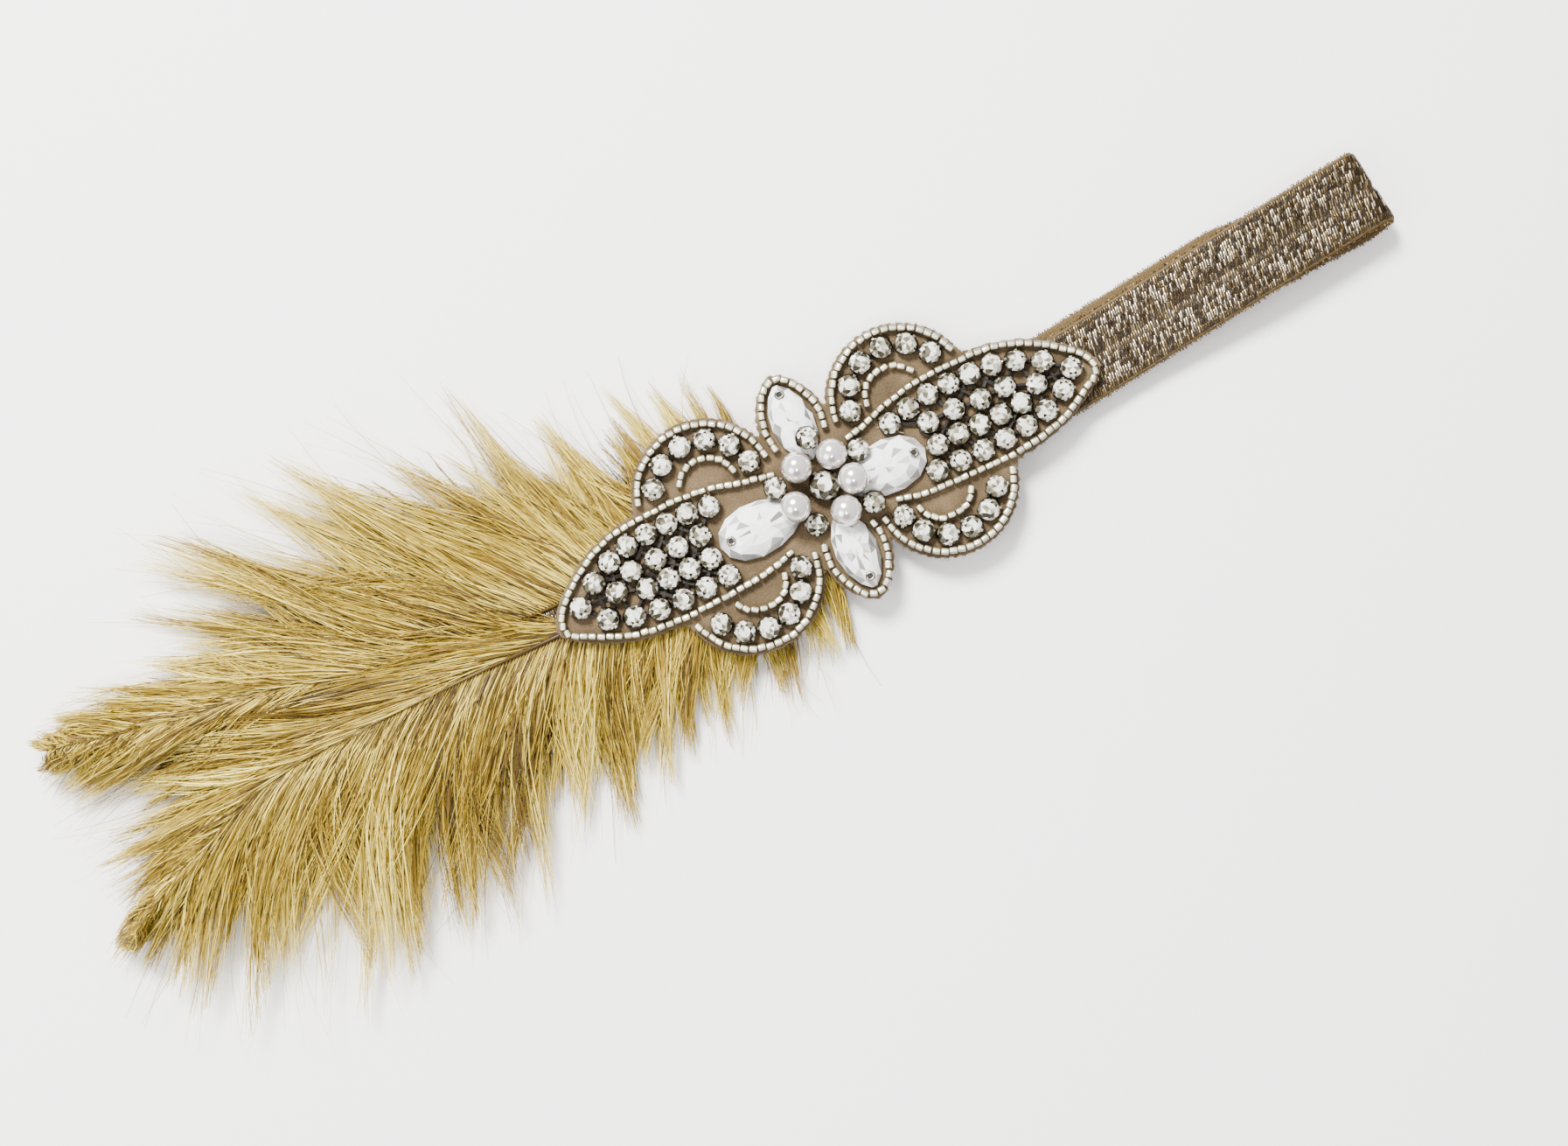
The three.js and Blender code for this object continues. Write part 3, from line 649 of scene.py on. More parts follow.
def smooth_line(points, spacing):
    """A Catmull-Rom curve through the points, sampled at an even spacing."""
    padded = np.vstack([2 * points[0] - points[1], points, 2 * points[-1] - points[-2]])
    t = np.linspace(0, 1, 24, endpoint=False)[:, None]
    spans = [
        0.5 * (2 * b + (c - a) * t + (2 * a - 5 * b + 4 * c - d) * t**2
               + (3 * b - a - 3 * c + d) * t**3)
        for a, b, c, d in zip(padded, padded[1:], padded[2:], padded[3:])
    ]
    fine = np.vstack([*spans, points[-1]])
    run = np.concatenate([[0], np.cumsum(np.linalg.norm(np.diff(fine, axis=0), axis=1))])
    at = np.linspace(0, run[-1], max(2, round(run[-1] / spacing)) + 1)
    return np.stack([np.interp(at, run, column) for column in fine.T], axis=1)


def frames_along(line):
    along = unit(np.gradient(line, axis=0))
    side = unit(np.cross(UP, along))
    over = np.cross(along, side)
    return np.stack([side, over, along], axis=-1)


# Seed beads.
def bead_shape():
    """A short cylinder with rounded rims and an open hole."""
    radius = BEAD_DIAMETER / 2
    half = 0.93 * BEAD_LENGTH / 2
    hole = 0.24
    rim = [(0.74 * radius, half), (0.95 * radius, 0.86 * half), (radius, 0.6 * half)]
    end = [(hole, 0.9 * half), *rim]
    profile = [(out, -up) for out, up in end] + end[::-1]
    sides = 12
    points, faces = spun(profile, sides)
    last = (len(profile) - 1) * sides
    lining = [(last + i, last + (i + 1) % sides, (i + 1) % sides, i) for i in range(sides)]
    return points, [np.concatenate([faces[0], np.array(lining)])]


def make_beads():
    material = bead_material()
    shape = bead_shape()
    for index, node in enumerate(sorted(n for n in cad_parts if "_beads_" in n)):
        random = rng(100 + index)
        line = smooth_line(string_line(node), BEAD_LENGTH)
        middles = (line[:-1] + line[1:]) / 2
        count = len(middles)
        frames = frames_along(line)[:-1] * random.uniform(0.95, 1.03, count)[:, None, None]
        spins = zip(random.uniform(0, 2 * math.pi, count), random.normal(0, 0.07, (count, 2)))
        frames = frames @ np.stack([turned(turn, tilt) for turn, tilt in spins])
        wobble = random.normal(0, 1, (count, 3)) * (0.06, 0.06, 0.03)
        points, faces = copies(shape, frames, middles + wobble)
        tone = np.repeat(random.uniform(0.66, 1.0, count), len(shape[0]))
        name = node.replace("_beads_", "_seed_beads_")
        dress(make_mesh(name, points, faces, [material], True, tone), "seed_bead", node)


# Claw-set stones.
def chaton_shape():
    """A round brilliant, radius and crown height one, and which cell each of its facets is in."""
    points = [(0.0, 0.0, 1.0)]
    rings = ((0.54, 0.94, 0.0), (0.80, 0.60, 0.5), (1.0, 0.0, 0.0), (1.0, 0.0, 0.5))
    for radius, height, shift in rings:
        for k in range(8):
            turn = math.pi * (k + shift) / 4
            points.append((radius * math.cos(turn), radius * math.sin(turn), height))
    table, crown, girdle, middle = (1 + 8 * ring for ring in range(4))
    faces = []
    cells = []
    for k in range(8):
        after = (k + 1) % 8
        before = (k + 7) % 8
        faces += [
            (0, table + k, table + after),
            (table + k, crown + k, table + after),
            (table + k, girdle + k, crown + k),
            (table + k, crown + before, girdle + k),
            (crown + k, girdle + k, middle + k),
            (crown + k, middle + k, girdle + after),
        ]
        cells += [k, 8 + k, 16 + k, 16 + k, 24 + k, 32 + k]
    return np.array(points), [np.array(faces)], np.array(cells)


def cup_shape(sides=16):
    """The cup under a stone of radius one, with four claws bent over its rim; stone_piece paints it
    dark as oxide and as painted shade.
    """
    profile = [(0, 0), (0.86, 0), (1.0, 0.2), (1.05, 0.5), (0.98, 0.56), (0.92, 0.5), (0, 0.45)]
    claw = np.array([
        (0.97, -0.17, 0.2), (1.1, -0.16, 0.2), (1.1, 0.16, 0.2), (0.97, 0.17, 0.2),
        (0.97, -0.15, 0.58), (1.06, -0.14, 0.64), (1.06, 0.14, 0.64), (0.97, 0.15, 0.58),
        (0.80, -0.09, 0.76), (0.84, -0.10, 0.86), (0.84, 0.10, 0.86), (0.80, 0.09, 0.76),
    ])
    quads = np.vstack([[(3, 2, 1, 0), (8, 9, 10, 11)], wall_quads(3, 4)])
    turns = (math.pi / 4 + quarter * math.pi / 2 for quarter in range(4))
    return merge([spun(profile, sides)] + [(claw @ turned(turn).T, [quads]) for turn in turns])


def cell_reflection_tones(random, stones):
    """Painted reflections on each stone's cells: table wedges, stars, crown kites and two rows at
    the girdle.
    """
    def tones(low, high, dark_share, dark_low, dark_high):
        tone = random.uniform(low, high, (stones, 8))
        dark = random.random((stones, 8)) < dark_share
        return np.where(dark, random.uniform(dark_low, dark_high, (stones, 8)), tone)

    table = tones(0.74, 1.0, 0.3, 0.30, 0.62)
    stars = tones(0.40, 0.85, 0.35, 0.05, 0.25)
    kites = tones(0.72, 1.0, 0.36, 0.12, 0.45)
    rims = [tones(0.15, 0.6, 0.3, 0.8, 1.0) for _ in range(2)]
    reflection_scale = random.uniform(0.90, 1.05, (stones, 1))
    return np.clip(np.concatenate([table, stars, kites, *rims], axis=1) * reflection_scale, 0, 1)


def place_stones(tables, diameter, height, base, random):
    """Chatons and cups for stones whose tables lie at the given points."""
    count = len(tables)
    radius = diameter / 2
    turns = random.uniform(0, 2 * math.pi, count)
    tilts = random.normal(0, 0.045, (count, 2))
    frames = np.stack([turned(turn, tilt) for turn, tilt in zip(turns, tilts)])

    def placed(shape, size, z):
        origins = np.column_stack([tables[:, :2], np.full(count, z)])
        return copies(shape, frames @ np.diag(size), origins)

    crown_size = (0.96 * radius, 0.96 * radius, 0.45 * height)
    cup_size = (0.985 * radius, 0.985 * radius, height)
    crowns = placed(chaton_shape()[:2], crown_size, base + 0.53 * height)
    return crowns, placed(cup_shape(), cup_size, base)


def stone_piece(name, node, tables, diameter, seed, netting=()):
    """Claw-set stones in one piece: facets toned by cell as painted reflections, and cups painted
    dark, as oxide and as painted shade round each stone, below bright claw tips.
    """
    random = rng(seed)
    low, high = box_mm(node)
    base, height = low[2], high[2] - low[2]
    crowns, cups = place_stones(tables, diameter, height, base, random)
    points, faces = merge([crowns, cups, *netting])
    crown_end = len(crowns[0])
    cup_end = crown_end + len(cups[0])
    # Each facet's tone is a painted reflection.
    facets = cell_reflection_tones(random, len(tables))[:, chaton_shape()[2]].ravel()
    tones, kinds = [], []
    for face in faces:
        kinds.append(np.digitize(face[:, 0], (crown_end, cup_end)))
        # Below the claw tips the cups are painted dark, partly as oxide and partly as painted shade
        # round each stone.
        is_tip = points[face][..., 2].mean(axis=1) > base + 0.7 * height
        bright, dark = random.uniform(0.6, 1.0, len(face)), random.uniform(0.0, 0.35, len(face))
        tone = np.where(is_tip, bright, dark)
        if face.shape[1] == 3:
            tone[:len(facets)] = facets
        tones.append(tone)
    piece = make_mesh(
        name, points, faces, [STONE, SILVER, NETTING_AND_SHADE], False,
        np.concatenate(tones), np.concatenate(kinds),
    )
    dress(piece, "rhinestone", node)


def netting_strip(tables, base):
    """Crossed threads under the cups, from each stone to its near neighbours, thick and near-black
    as painted shade between the stones.
    """
    paths = [
        np.linspace((*a[:2], base + 0.35), (*b[:2], base + 0.35), 4)
        for a, b in itertools.combinations(tables, 2)
        if np.linalg.norm(a[:2] - b[:2]) < 1.75 * STONE_DIAMETER
    ]
    return tubes(np.array(paths), np.full((len(paths), 4), NETTING_RADIUS), 4, 5)


def make_stone_fields():
    for index, node in enumerate(sorted(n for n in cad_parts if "_stones_" in n)):
        tables = stone_tables(node)
        netting = netting_strip(tables, box_mm(node)[0][2])
        name = node.replace("_stones_", "_claw_stones_")
        stone_piece(name, node, tables, STONE_DIAMETER, 200 + index, [netting])


def make_cluster():
    names = ["middle_stone"] + [f"cluster_stone_{i}" for i in range(1, 6)]
    for index, node in enumerate(names):
        low, high = box_mm(node)
        tables = np.array([[*(low + high)[:2] / 2, high[2]]])
        stone_piece(node + "_set", node, tables, high[1] - low[1], 300 + index)


# Sew-on stones.
def checkerboard(outline, height, levels):
    """A faceted flat-backed stone: rings of facets from the girdle to a small table."""
    halfway = (outline + np.roll(outline, -1, axis=0)) / 2
    count = len(outline)
    rings = [
        (halfway if level % 2 else outline, size, GIRDLE_HEIGHT + up * (height - GIRDLE_HEIGHT))
        for level, (size, up) in enumerate(levels)
    ]
    rings += [(outline, 1.0, GIRDLE_HEIGHT), (outline, 0.97, 0.0)]
    points = [np.column_stack([ring * size, np.full(count, z)]) for ring, size, z in rings]
    points += [[(0, 0, height)], [(0, 0, 0)]]
    i = np.arange(count)
    n = (i + 1) % count

    def facets(*corners):
        """Triangles round the stone, a set of three corners for each one beside the others."""
        return np.stack([np.stack(three, axis=-1) for three in corners], axis=1).reshape(-1, 3)

    rim = len(levels) * count
    foot, top, middle = rim + count, rim - count, np.full(count, rim + 2 * count)
    tris = []
    for low in range(0, top, count):
        high = low + count
        if low // count % 2:
            tris.append(facets((low + i, high + n, high + i), (low + i, low + n, high + n)))
        else:
            tris.append(facets((low + i, low + n, high + i), (high + i, low + n, high + n)))
    tris += [
        facets((rim + i, rim + n, n), (rim + i, n, i),
               (foot + i, foot + n, rim + n), (foot + i, rim + n, rim + i)),
        facets((top + i, top + n, middle)),
        facets((foot + n, foot + i, middle + 1)),
    ]
    return np.vstack(points), np.concatenate(tris)


def sewn_outline(node, middle, size, sides=14):
    """The girdle of a navette, pointed at both ends, or of a pear with its round end outwards."""
    turn = 2 * math.pi * np.arange(sides) / sides
    c, s = np.cos(turn), np.sin(turn)
    if node.startswith("navette"):
        x, y = size[0] / 2 * np.copysign(np.abs(c) ** 1.4, c), size[1] / 2 * s
    else:
        way = np.sign(middle[0])
        x, y = way * size[0] / 2 * c, way * PEAR_WIDTH / 2 * s * (1 + PEAR_SWELL * c)
    return np.column_stack([x, y])


def make_sew_stones():
    sewn = sorted(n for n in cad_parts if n.startswith(("navette", "pear_stone")))
    levels = [(1.0, 0.0), (0.86, 0.42), (0.58, 0.84), (0.26, 1.0)]
    for index, node in enumerate(sewn):
        random = rng(400 + index)
        low, high = box_mm(node)
        middle, size = (low + high) / 2, high - low
        points, tris = checkerboard(sewn_outline(node, middle, size), size[2], levels)
        away = points[tris][..., :2].mean(axis=1) / (size[:2] / 2)
        is_outer = np.linalg.norm(away, axis=1) > 0.72
        # Facet tones are painted reflections and shade: mostly white, with grey facets more often
        # near the rim.
        tone = random.uniform(0.88, 1.0, len(tris))
        is_shaded = random.random(len(tris)) < np.where(is_outer, 0.5, 0.16)
        tone = np.where(is_shaded, random.uniform(0.18, 0.75, len(tris)), tone)
        name = node.replace("_stone_", "_crystal_")
        points += (*middle[:2], low[2])
        dress(make_mesh(name, points, [tris], [CRYSTAL], False, tone), "crystal", node)
        way = 1 if node.startswith("navette") else 0
        hole = middle[:2].copy()
        hole[way] += math.copysign(0.36 * size[way], middle[way])
        make_drill_hole(name + "_hole", hole, low[2] + 0.8 * size[2])


def make_drill_hole(name, hole, z):
    """The grey rim of the drilled hole, and a near-black disc in it painted as the shade of its
    depth.
    """
    radius = DRILL_DIAMETER / 2
    shares = ((0.75, 0.0), (0.8, 0.2), (1.1, 0.34), (1.5, 0.28), (1.7, -0.1))
    ring = spun([(radius * share, up) for share, up in shares], 16)
    shade_plug = spun([(0, 0.14), (radius * 0.8, 0.1)], 16)
    points, faces = merge([ring, shade_plug])
    kinds = np.concatenate([(face[:, 0] >= len(ring[0])).astype(int) for face in faces])
    seed = int(1000 + 10 * abs(hole[0]) + 7 * abs(hole[1]))
    tone = rng(seed).uniform(0.35, 0.9, len(points))
    points += (*hole, z)
    dress(make_mesh(name, points, faces, [SILVER, HOLE_SHADE], True, tone, kinds), "crystal")


# Pearls.
def make_pearls():
    rings = 22
    for node in (f"pearl_{index}" for index in range(1, 6)):
        low, high = box_mm(node)
        radius = (high[2] - low[2]) / 2
        turns = [math.pi * i / rings - math.pi / 2 for i in range(1, rings)]
        sphere = [(radius * math.cos(turn), radius * math.sin(turn)) for turn in turns]
        points, faces = spun([(0, -radius), *sphere, (0, radius)], 40)
        name = "round_" + node
        points += (low + high) / 2
        dress(make_mesh(name, points, faces, [PEARL], True), "pearl", node)


# The felt.
def felt_outline():
    """The outline of the backing's top face, with its corners cut round."""
    points = node_points("backing")
    keys = [tuple(np.round(point[:2], 2)) for point in points]
    is_top = points[:, 2] >= points[:, 2].max() - 0.05
    edges = {}
    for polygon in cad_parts["backing"].data.polygons:
        corners = list(polygon.vertices)
        if is_top[corners].all():
            for a, b in zip(corners, corners[1:] + corners[:1]):
                edge = tuple(sorted((keys[a], keys[b])))
                edges[edge] = edges.get(edge, 0) + 1
    links = {}
    for (a, b), count in edges.items():
        if count == 1 and a != b:
            links.setdefault(a, []).append(b)
            links.setdefault(b, []).append(a)
    walk = [next(iter(links))]
    while links[walk[-1]]:
        after = links[walk[-1]].pop()
        links[after].remove(walk[-1])
        walk.append(after)
    outline = np.array(walk[:-1])
    for _ in range(3):
        after = np.roll(outline, -1, axis=0)
        outline = np.stack([0.75 * outline + 0.25 * after, 0.25 * outline + 0.75 * after], axis=1)
        outline = outline.reshape(-1, 2)
    return outline


def make_felt():
    outline = felt_outline()
    ahead = np.roll(outline, -1, axis=0)
    area = 0.5 * np.sum(outline[:, 0] * ahead[:, 1] - ahead[:, 0] * outline[:, 1])
    if area < 0:
        outline = outline[::-1]
    random = rng(31)
    tangent = unit(np.roll(outline, -1, axis=0) - np.roll(outline, 1, axis=0))
    outward = np.stack([tangent[:, 1], -tangent[:, 0]], axis=1)
    count = len(outline)
    ragged = 0.12 * np.sin(np.arange(count) * 1.7) + random.normal(0, 0.06, count)
    outline = outline + outward * ragged[:, None]
    low, high = box_mm("backing")
    base, top = low[2], high[2]
    levels = [(-0.25, base + 0.02), (0.0, base + 0.25), (0.02, top - 0.25), (-0.22, top - 0.02)]
    points = np.concatenate([
        np.column_stack([outline + outward * out, np.full(count, z)]) for out, z in levels
    ])
    around = np.arange(count)[None, :]
    faces = [wall_quads(len(levels), count), around[:, ::-1], around + (len(levels) - 1) * count]
    piece = make_mesh("felt_ground", points, faces, [FELT])
    dress(piece, "felt", "backing")
    fibres = make_felt_fibres(outline, outward, base, top)


def make_felt_fibres(outline, outward, base, top):
    """Loose fibres standing out of the felt's cut edge."""
    random = rng(32)
    count = 1600
    pick = random.integers(0, len(outline), count)
    lengths = random.uniform(0.2, 0.75, count)[:, None, None]
    sway = random.normal(0, 0.6, count)[:, None, None]
    t = np.linspace(0, 1, 4)
    out = outward[pick]
    along = np.column_stack([-out[:, 1], out[:, 0]])
    bend = out[:, None] * t[:, None] + along[:, None] * sway * t[:, None] ** 2
    flat = (outline[pick] - 0.15 * out)[:, None] + bend * lengths
    height = random.uniform(base + 0.1, top - 0.05, count)
    z = height[:, None] + random.normal(0, 0.2, count)[:, None] * t
    radii = np.tile(np.linspace(0.03, 0.012, 4), (count, 1))
    points, faces = tubes(np.concatenate([flat, z[..., None]], axis=2), radii, 3, 33)
    return dress(make_mesh("felt_fibres", points, faces, [FELT]), "felt")


# Loose sewing threads on the applique, as rows of places in mm: two at the foot of the right leaf,
# one round each end of its pear, one at its tip, and one loop below the left leaf.
THREADS = (
    ((11.8, 8.3, 4.4), (16.4, 4.8, 6.6), (19.0, 2.4, 7.0)),
    ((12.7, 8.8, 4.4), (17.5, 6.4, 4.2), (23.1, 2.8, 4.4)),
    ((18.1, -7.7, 4.2), (21.1, -9.8, 4.5), (24.5, -10.2, 4.2)),
    ((55.7, -2.1, 5.2), (56.4, -5.4, 5.4), (54.6, -7.3, 4.4)),
    ((-25.7, -11.7, 4.6), (-23.2, -12.6, 5.2), (-21.1, -12.1, 5.4), (-20.6, -10.5, 4.6)),
)


def make_threads():
    shapes = []
    for row in THREADS:
        line = smooth_line(np.array(row), 0.4)
        shapes.append(tubes(line[None], np.full((1, len(line)), THREAD_RADIUS), 6, 41))
    points, faces = merge(shapes)
    return dress(make_mesh("sewing_threads", points, faces, [THREAD], True), "felt")


# The plumes: the shaft's course and rise, and for each side the reach, lean and curl of its barbs.
# All are shares of the plume's reach, and angles are in degrees.
PLUMES = {
    "feather_front": {
        "course": {"at": (0, 0.37, 0.53, 0.66, 0.78, 0.87, 0.94, 1),
                   "y": (-0.02, -0.018, -0.016, -0.016, -0.024, -0.058, -0.085, -0.118)},
        "rise": {"at": (0.385, 0.5, 0.8, 1), "z": (0, 0.0267, 0.0329, 0.0298)},
        "above": {"at": (0, 0.6, 0.85), "mm": (0.32, 0.32, 0.0)},
        "paleness": {"at": (0.4, 0.78), "tone": (0, 1)},
        "sides": [
            {"way": -1, "share": 0.36, "locks": 54, "room": 0.35,
             "at": (0.02, 0.2, 0.32, 0.42, 0.5, 0.6, 0.68, 0.76, 0.84, 0.92, 1.0),
             "reach": (0.2, 0.23, 0.28, 0.35, 0.35, 0.38, 0.36, 0.31, 0.22, 0.12, 0.04),
             "lean": (10, 24, 31, 37, 41, 45, 48, 54, 62, 70, 78),
             "curl": (6, 0, -10, -22, -28, -32, -32, -26, -16, -6, 0)},
            {"way": 1, "share": 0.2, "locks": 26, "room": 0.37,
             "at": (0.34, 0.42, 0.5, 0.6, 0.7, 0.8, 0.9, 1.0),
             "reach": (0.28, 0.37, 0.40, 0.38, 0.31, 0.21, 0.11, 0.04),
             "lean": (64, 74, 79, 83, 87, 92, 100, 108),
             "curl": (10, 6, 4, 4, 2, 0, 0, 0)},
        ],
    },
    "feather_back": {
        "course": {"at": (0, 0.31, 0.44, 0.53, 0.62, 0.71, 0.8, 0.9, 1),
                   "y": (0.009, 0.018, 0.023, 0.027, 0.044, 0.077, 0.09, 0.111, 0.136)},
        "rise": {"at": (0.34, 0.54, 0.8, 1), "z": (0, 0.0106, 0.0193, 0.0186)},
        "above": {"at": (0.5, 0.6, 0.85), "mm": (-0.9, 0.3, 0.1)},
        "paleness": {"at": (0.5, 0.57, 0.62, 0.8), "tone": (1, 0, 0, 1)},
        "sides": [
            {"way": 1, "share": 0.33, "locks": 50, "room": 0.37,
             "at": (0.07, 0.1, 0.16, 0.24, 0.3, 0.36, 0.42, 0.5, 0.56, 0.63, 0.7, 0.8, 0.9, 1.0),
             "reach": (0.15, 0.19, 0.23, 0.24, 0.35, 0.39, 0.42, 0.42, 0.34, 0.22, 0.26, 0.19, 0.11,
                       0.035),
             "lean": (-2, 2, 5, 20, 27, 36, 43, 52, 57, 60, 65, 68, 60, 60),
             "curl": (8, 8, 8, 6, 2, -4, -8, -6, 0, 6, 8, 4, 0, 0)},
            {"way": -1, "share": 0.13, "locks": 18, "room": 0.35,
             "at": (0.42, 0.55, 0.7, 0.8, 0.9, 1.0),
             "reach": (0.26, 0.33, 0.30, 0.20, 0.12, 0.04),
             "lean": (76, 82, 84, 82, 74, 66),
             "curl": (4, 4, 4, 4, 2, 0)},
        ],
    },
}
BARB_STEPS = 8


def shaft_y(plume, at):
    """The shaft's place across the plan, as a smooth curve through its rows."""
    places, values = np.array(plume["course"]["at"]), np.array(plume["course"]["y"])
    slopes = np.gradient(values, places)
    at = np.clip(at, places[0], places[-1])
    i = np.clip(np.searchsorted(places, at) - 1, 0, len(places) - 2)
    span = places[i + 1] - places[i]
    t = (at - places[i]) / span
    rise = (1 + 2 * t) * (1 - t) ** 2 * values[i] + t * t * (3 - 2 * t) * values[i + 1]
    bend = t * (1 - t) ** 2 * slopes[i] - t * t * (1 - t) * slopes[i + 1]
    return PLUME_REACH * (rise + bend * span)


def shaft_z(plume, x):
    rise = eased(-np.asarray(x) / PLUME_REACH, plume["rise"]["at"], plume["rise"]["z"])
    return QUILL_HEIGHT + PLUME_REACH * rise


def barb_path(plume, way, at, reach, lean, curl, t):
    """Plan places along barbs, which hug the shaft at the root and then swing out and curl."""
    step = np.diff(t, prepend=0)
    root = 24 * np.exp(-t / 0.07)
    angle = np.radians(lean[:, None] + root[None, :] + curl[:, None] * (t[None, :] - 0.45))
    x = -at[:, None] * PLUME_REACH - np.cumsum(np.sin(angle) * step, axis=1) * reach[:, None]
    y = shaft_y(plume, at)[:, None] + way * np.cumsum(np.cos(angle) * step, axis=1) * reach[:, None]
    return np.stack([x, y], axis=-1)


def across_path(path):
    """Unit vectors square to plan paths."""
    along = unit(np.gradient(path, axis=1))
    return np.stack([-along[..., 1], along[..., 0]], axis=-1)


def ribbons(paths, widths, seed):
    """Flat tapering ribbons, each rolled a little about its own length."""
    count, steps, _ = paths.shape
    along = unit(np.gradient(paths, axis=1))
    side = unit(np.cross(along, UP))
    roll = rng(seed).normal(0, 0.6, count)[:, None, None]
    half = (np.cos(roll) * side + np.sin(roll) * np.cross(side, along)) * (widths[..., None] / 2)
    points = np.stack([paths - half, paths + half], axis=2).reshape(-1, 3)
    base = (np.arange(count)[:, None] * steps + np.arange(steps - 1)) * 2
    quads = np.stack([base, base + 1, base + 3, base + 2], axis=-1).reshape(-1, 4)
    return points, [quads]


def strand_courses(plume, side, kind, count, random, t):
    """Plan paths of barbs drawn together into pointed locks, with each one's lock and stray mark."""
    first, last = side["at"][0], side["at"][-1]
    span = last - first
    pitch = BARB_PITCH / PLUME_REACH
    at = first + span * (np.arange(count) + random.uniform(0, 1, count)) / count
    at = np.clip(np.round(at / pitch) * pitch + random.normal(0, 0.07 * pitch, count), first, last)
    locks = side["locks"]
    lock_at = first + span * (np.arange(locks) + 0.5 + random.normal(0, 0.3, locks)) / locks
    blurred = at + random.normal(0, 0.55, count) * span / locks
    lock = np.abs(blurred[:, None] - lock_at).argmin(axis=1)
    part = random.integers(0, 4, count)

    def row(name, places):
        return np.interp(places, side["at"], side[name])

    stray = random.random(count) < kind["strays"]
    longest = random.uniform(0.72, 1.1, locks)[lock]
    length = longest * random.uniform(kind["shortest"], 1.0, count) ** 0.7
    length = np.where(stray, random.uniform(0.9, 1.2, count), length) * kind["longest"]
    curl = row("curl", at) + random.normal(0, 9, locks)[lock] + random.normal(0, 6, count)
    curl = np.where(stray, curl + random.normal(0, 26, count), curl)
    lean = row("lean", at) + random.normal(0, 3, count)
    reach = row("reach", at) * PLUME_REACH * length
    own = barb_path(plume, side["way"], at, reach, lean, curl, t)
    lock_lean = row("lean", lock_at) + random.normal(0, 8, locks)
    lock_reach = row("reach", lock_at)[lock] * PLUME_REACH * length
    target = barb_path(plume, side["way"], lock_at[lock], lock_reach, lock_lean[lock], curl, t)
    offsets = random.normal(0, 1.25, (locks, 4))[lock, part]
    bulge = smoothstep(0.15, 0.6, t) * (1 - 0.6 * smoothstep(0.65, 1, t))
    target += across_path(target) * (offsets[:, None] * bulge)[..., None]
    pull = np.where(stray, random.uniform(0, 0.3, count), random.uniform(*kind["pull"], count))
    flat = own + (target - own) * (pull[:, None] * smoothstep(0.16, 0.92, t))[..., None]
    fan = smoothstep(0.1, 0.5, t) * (1 - 0.55 * smoothstep(0.5, 1, t))
    spread = random.normal(0, kind["fan"], count)[:, None] * fan
    turns = random.uniform(2.5, 6, locks)[lock, None] * t
    turns = turns + random.uniform(0, 6.3, locks)[lock, None]
    sway = np.sin(turns) * random.uniform(0.3, 1.5, locks)[lock, None] * t
    sway += np.sin(2 * turns) * random.uniform(0.0, 0.35, count)[:, None] * t
    flat += across_path(flat) * (spread + sway)[..., None]
    far = np.abs(flat[..., 1]).max(axis=1)
    shorter = np.minimum(1, side["room"] * PLUME_REACH / far)[:, None, None]
    return flat[:, :1] + (flat - flat[:, :1]) * shorter, at, lock, stray


def strand_heights(plume, flat, at, lock, locks, kind, random, t):
    """Heights along barbs: from the shaft, drooping outwards and settling clear of the table."""
    count = len(at)
    height = shaft_z(plume, flat[..., 0])
    droop = kind["droop"] * np.maximum(height - 0.8, 0) * smoothstep(0.25, 1.1, t)
    arch = random.normal(0, 0.5, count)[:, None] * np.sin(math.pi * t)
    lift = random.normal(0, 0.75, locks)[lock][:, None] * smoothstep(0.15, 0.8, t)
    height = height - droop + arch + lift + kind["lift"]
    height[:, 0] = shaft_z(plume, -at * PLUME_REACH) + random.uniform(-0.25, 0.05, count)
    covered = flat[..., 0] > -LEAF_REACH - 1.5
    return np.where(covered, np.clip(height, 0.3, 4.7), np.clip(height, 0.25, None))


def strand_tones(at, lock, locks, kind, random, t):
    """Tones along barbs: near the shaft every other barb is darkened as painted shade between barbs,
    then light and dark by lock.
    """
    count = len(at)
    loose = smoothstep(0.18, 0.55, t)
    own = random.normal(0, 0.2, count)[:, None] * (0.3 + 0.7 * loose)
    shade = random.normal(0, 0.15, locks)[lock][:, None] * loose
    # Every other barb near the shaft is darker: painted shade in the gaps between barbs.
    line = np.where(np.round(at * PLUME_REACH / BARB_PITCH).astype(int) % 2 == 0, 1, -1)
    shade_lines = 0.32 * line[:, None] * (1 - loose)
    dark_root = 0.2 * (1 - smoothstep(0.0, 0.05, t))
    tips = 0.2 * smoothstep(0.5, 1, t)
    return np.clip(kind["tone"] + own + shade + shade_lines - dark_root + tips, 0, 1)


# Layers of barbs: down below, then the vane's locks, as round strands and as finer flat ones.
BARB_KINDS = {
    # The down's low tone is painted shade under the locks.
    "down": {
        "strands": 5200, "round": False, "width": 0.34, "strays": 0.0, "shortest": 0.35,
        "longest": 0.74, "fan": 0.8, "pull": (0.1, 0.5), "droop": 0.75, "lift": -0.9, "tone": 0.24,
    },
    "locks": {
        "strands": 8200, "round": True, "width": 0.2, "strays": 0.02, "shortest": 0.55,
        "longest": 1.0, "fan": 0.3, "pull": (0.88, 1.0), "droop": 0.55, "lift": 0.1, "tone": 0.5,
    },
    "fluff": {
        "strands": 15000, "round": False, "width": 0.2, "strays": 0.02, "shortest": 0.35,
        "longest": 0.98, "fan": 0.5, "pull": (0.75, 1.0), "droop": 0.55, "lift": 0.15, "tone": 0.5,
    },
}


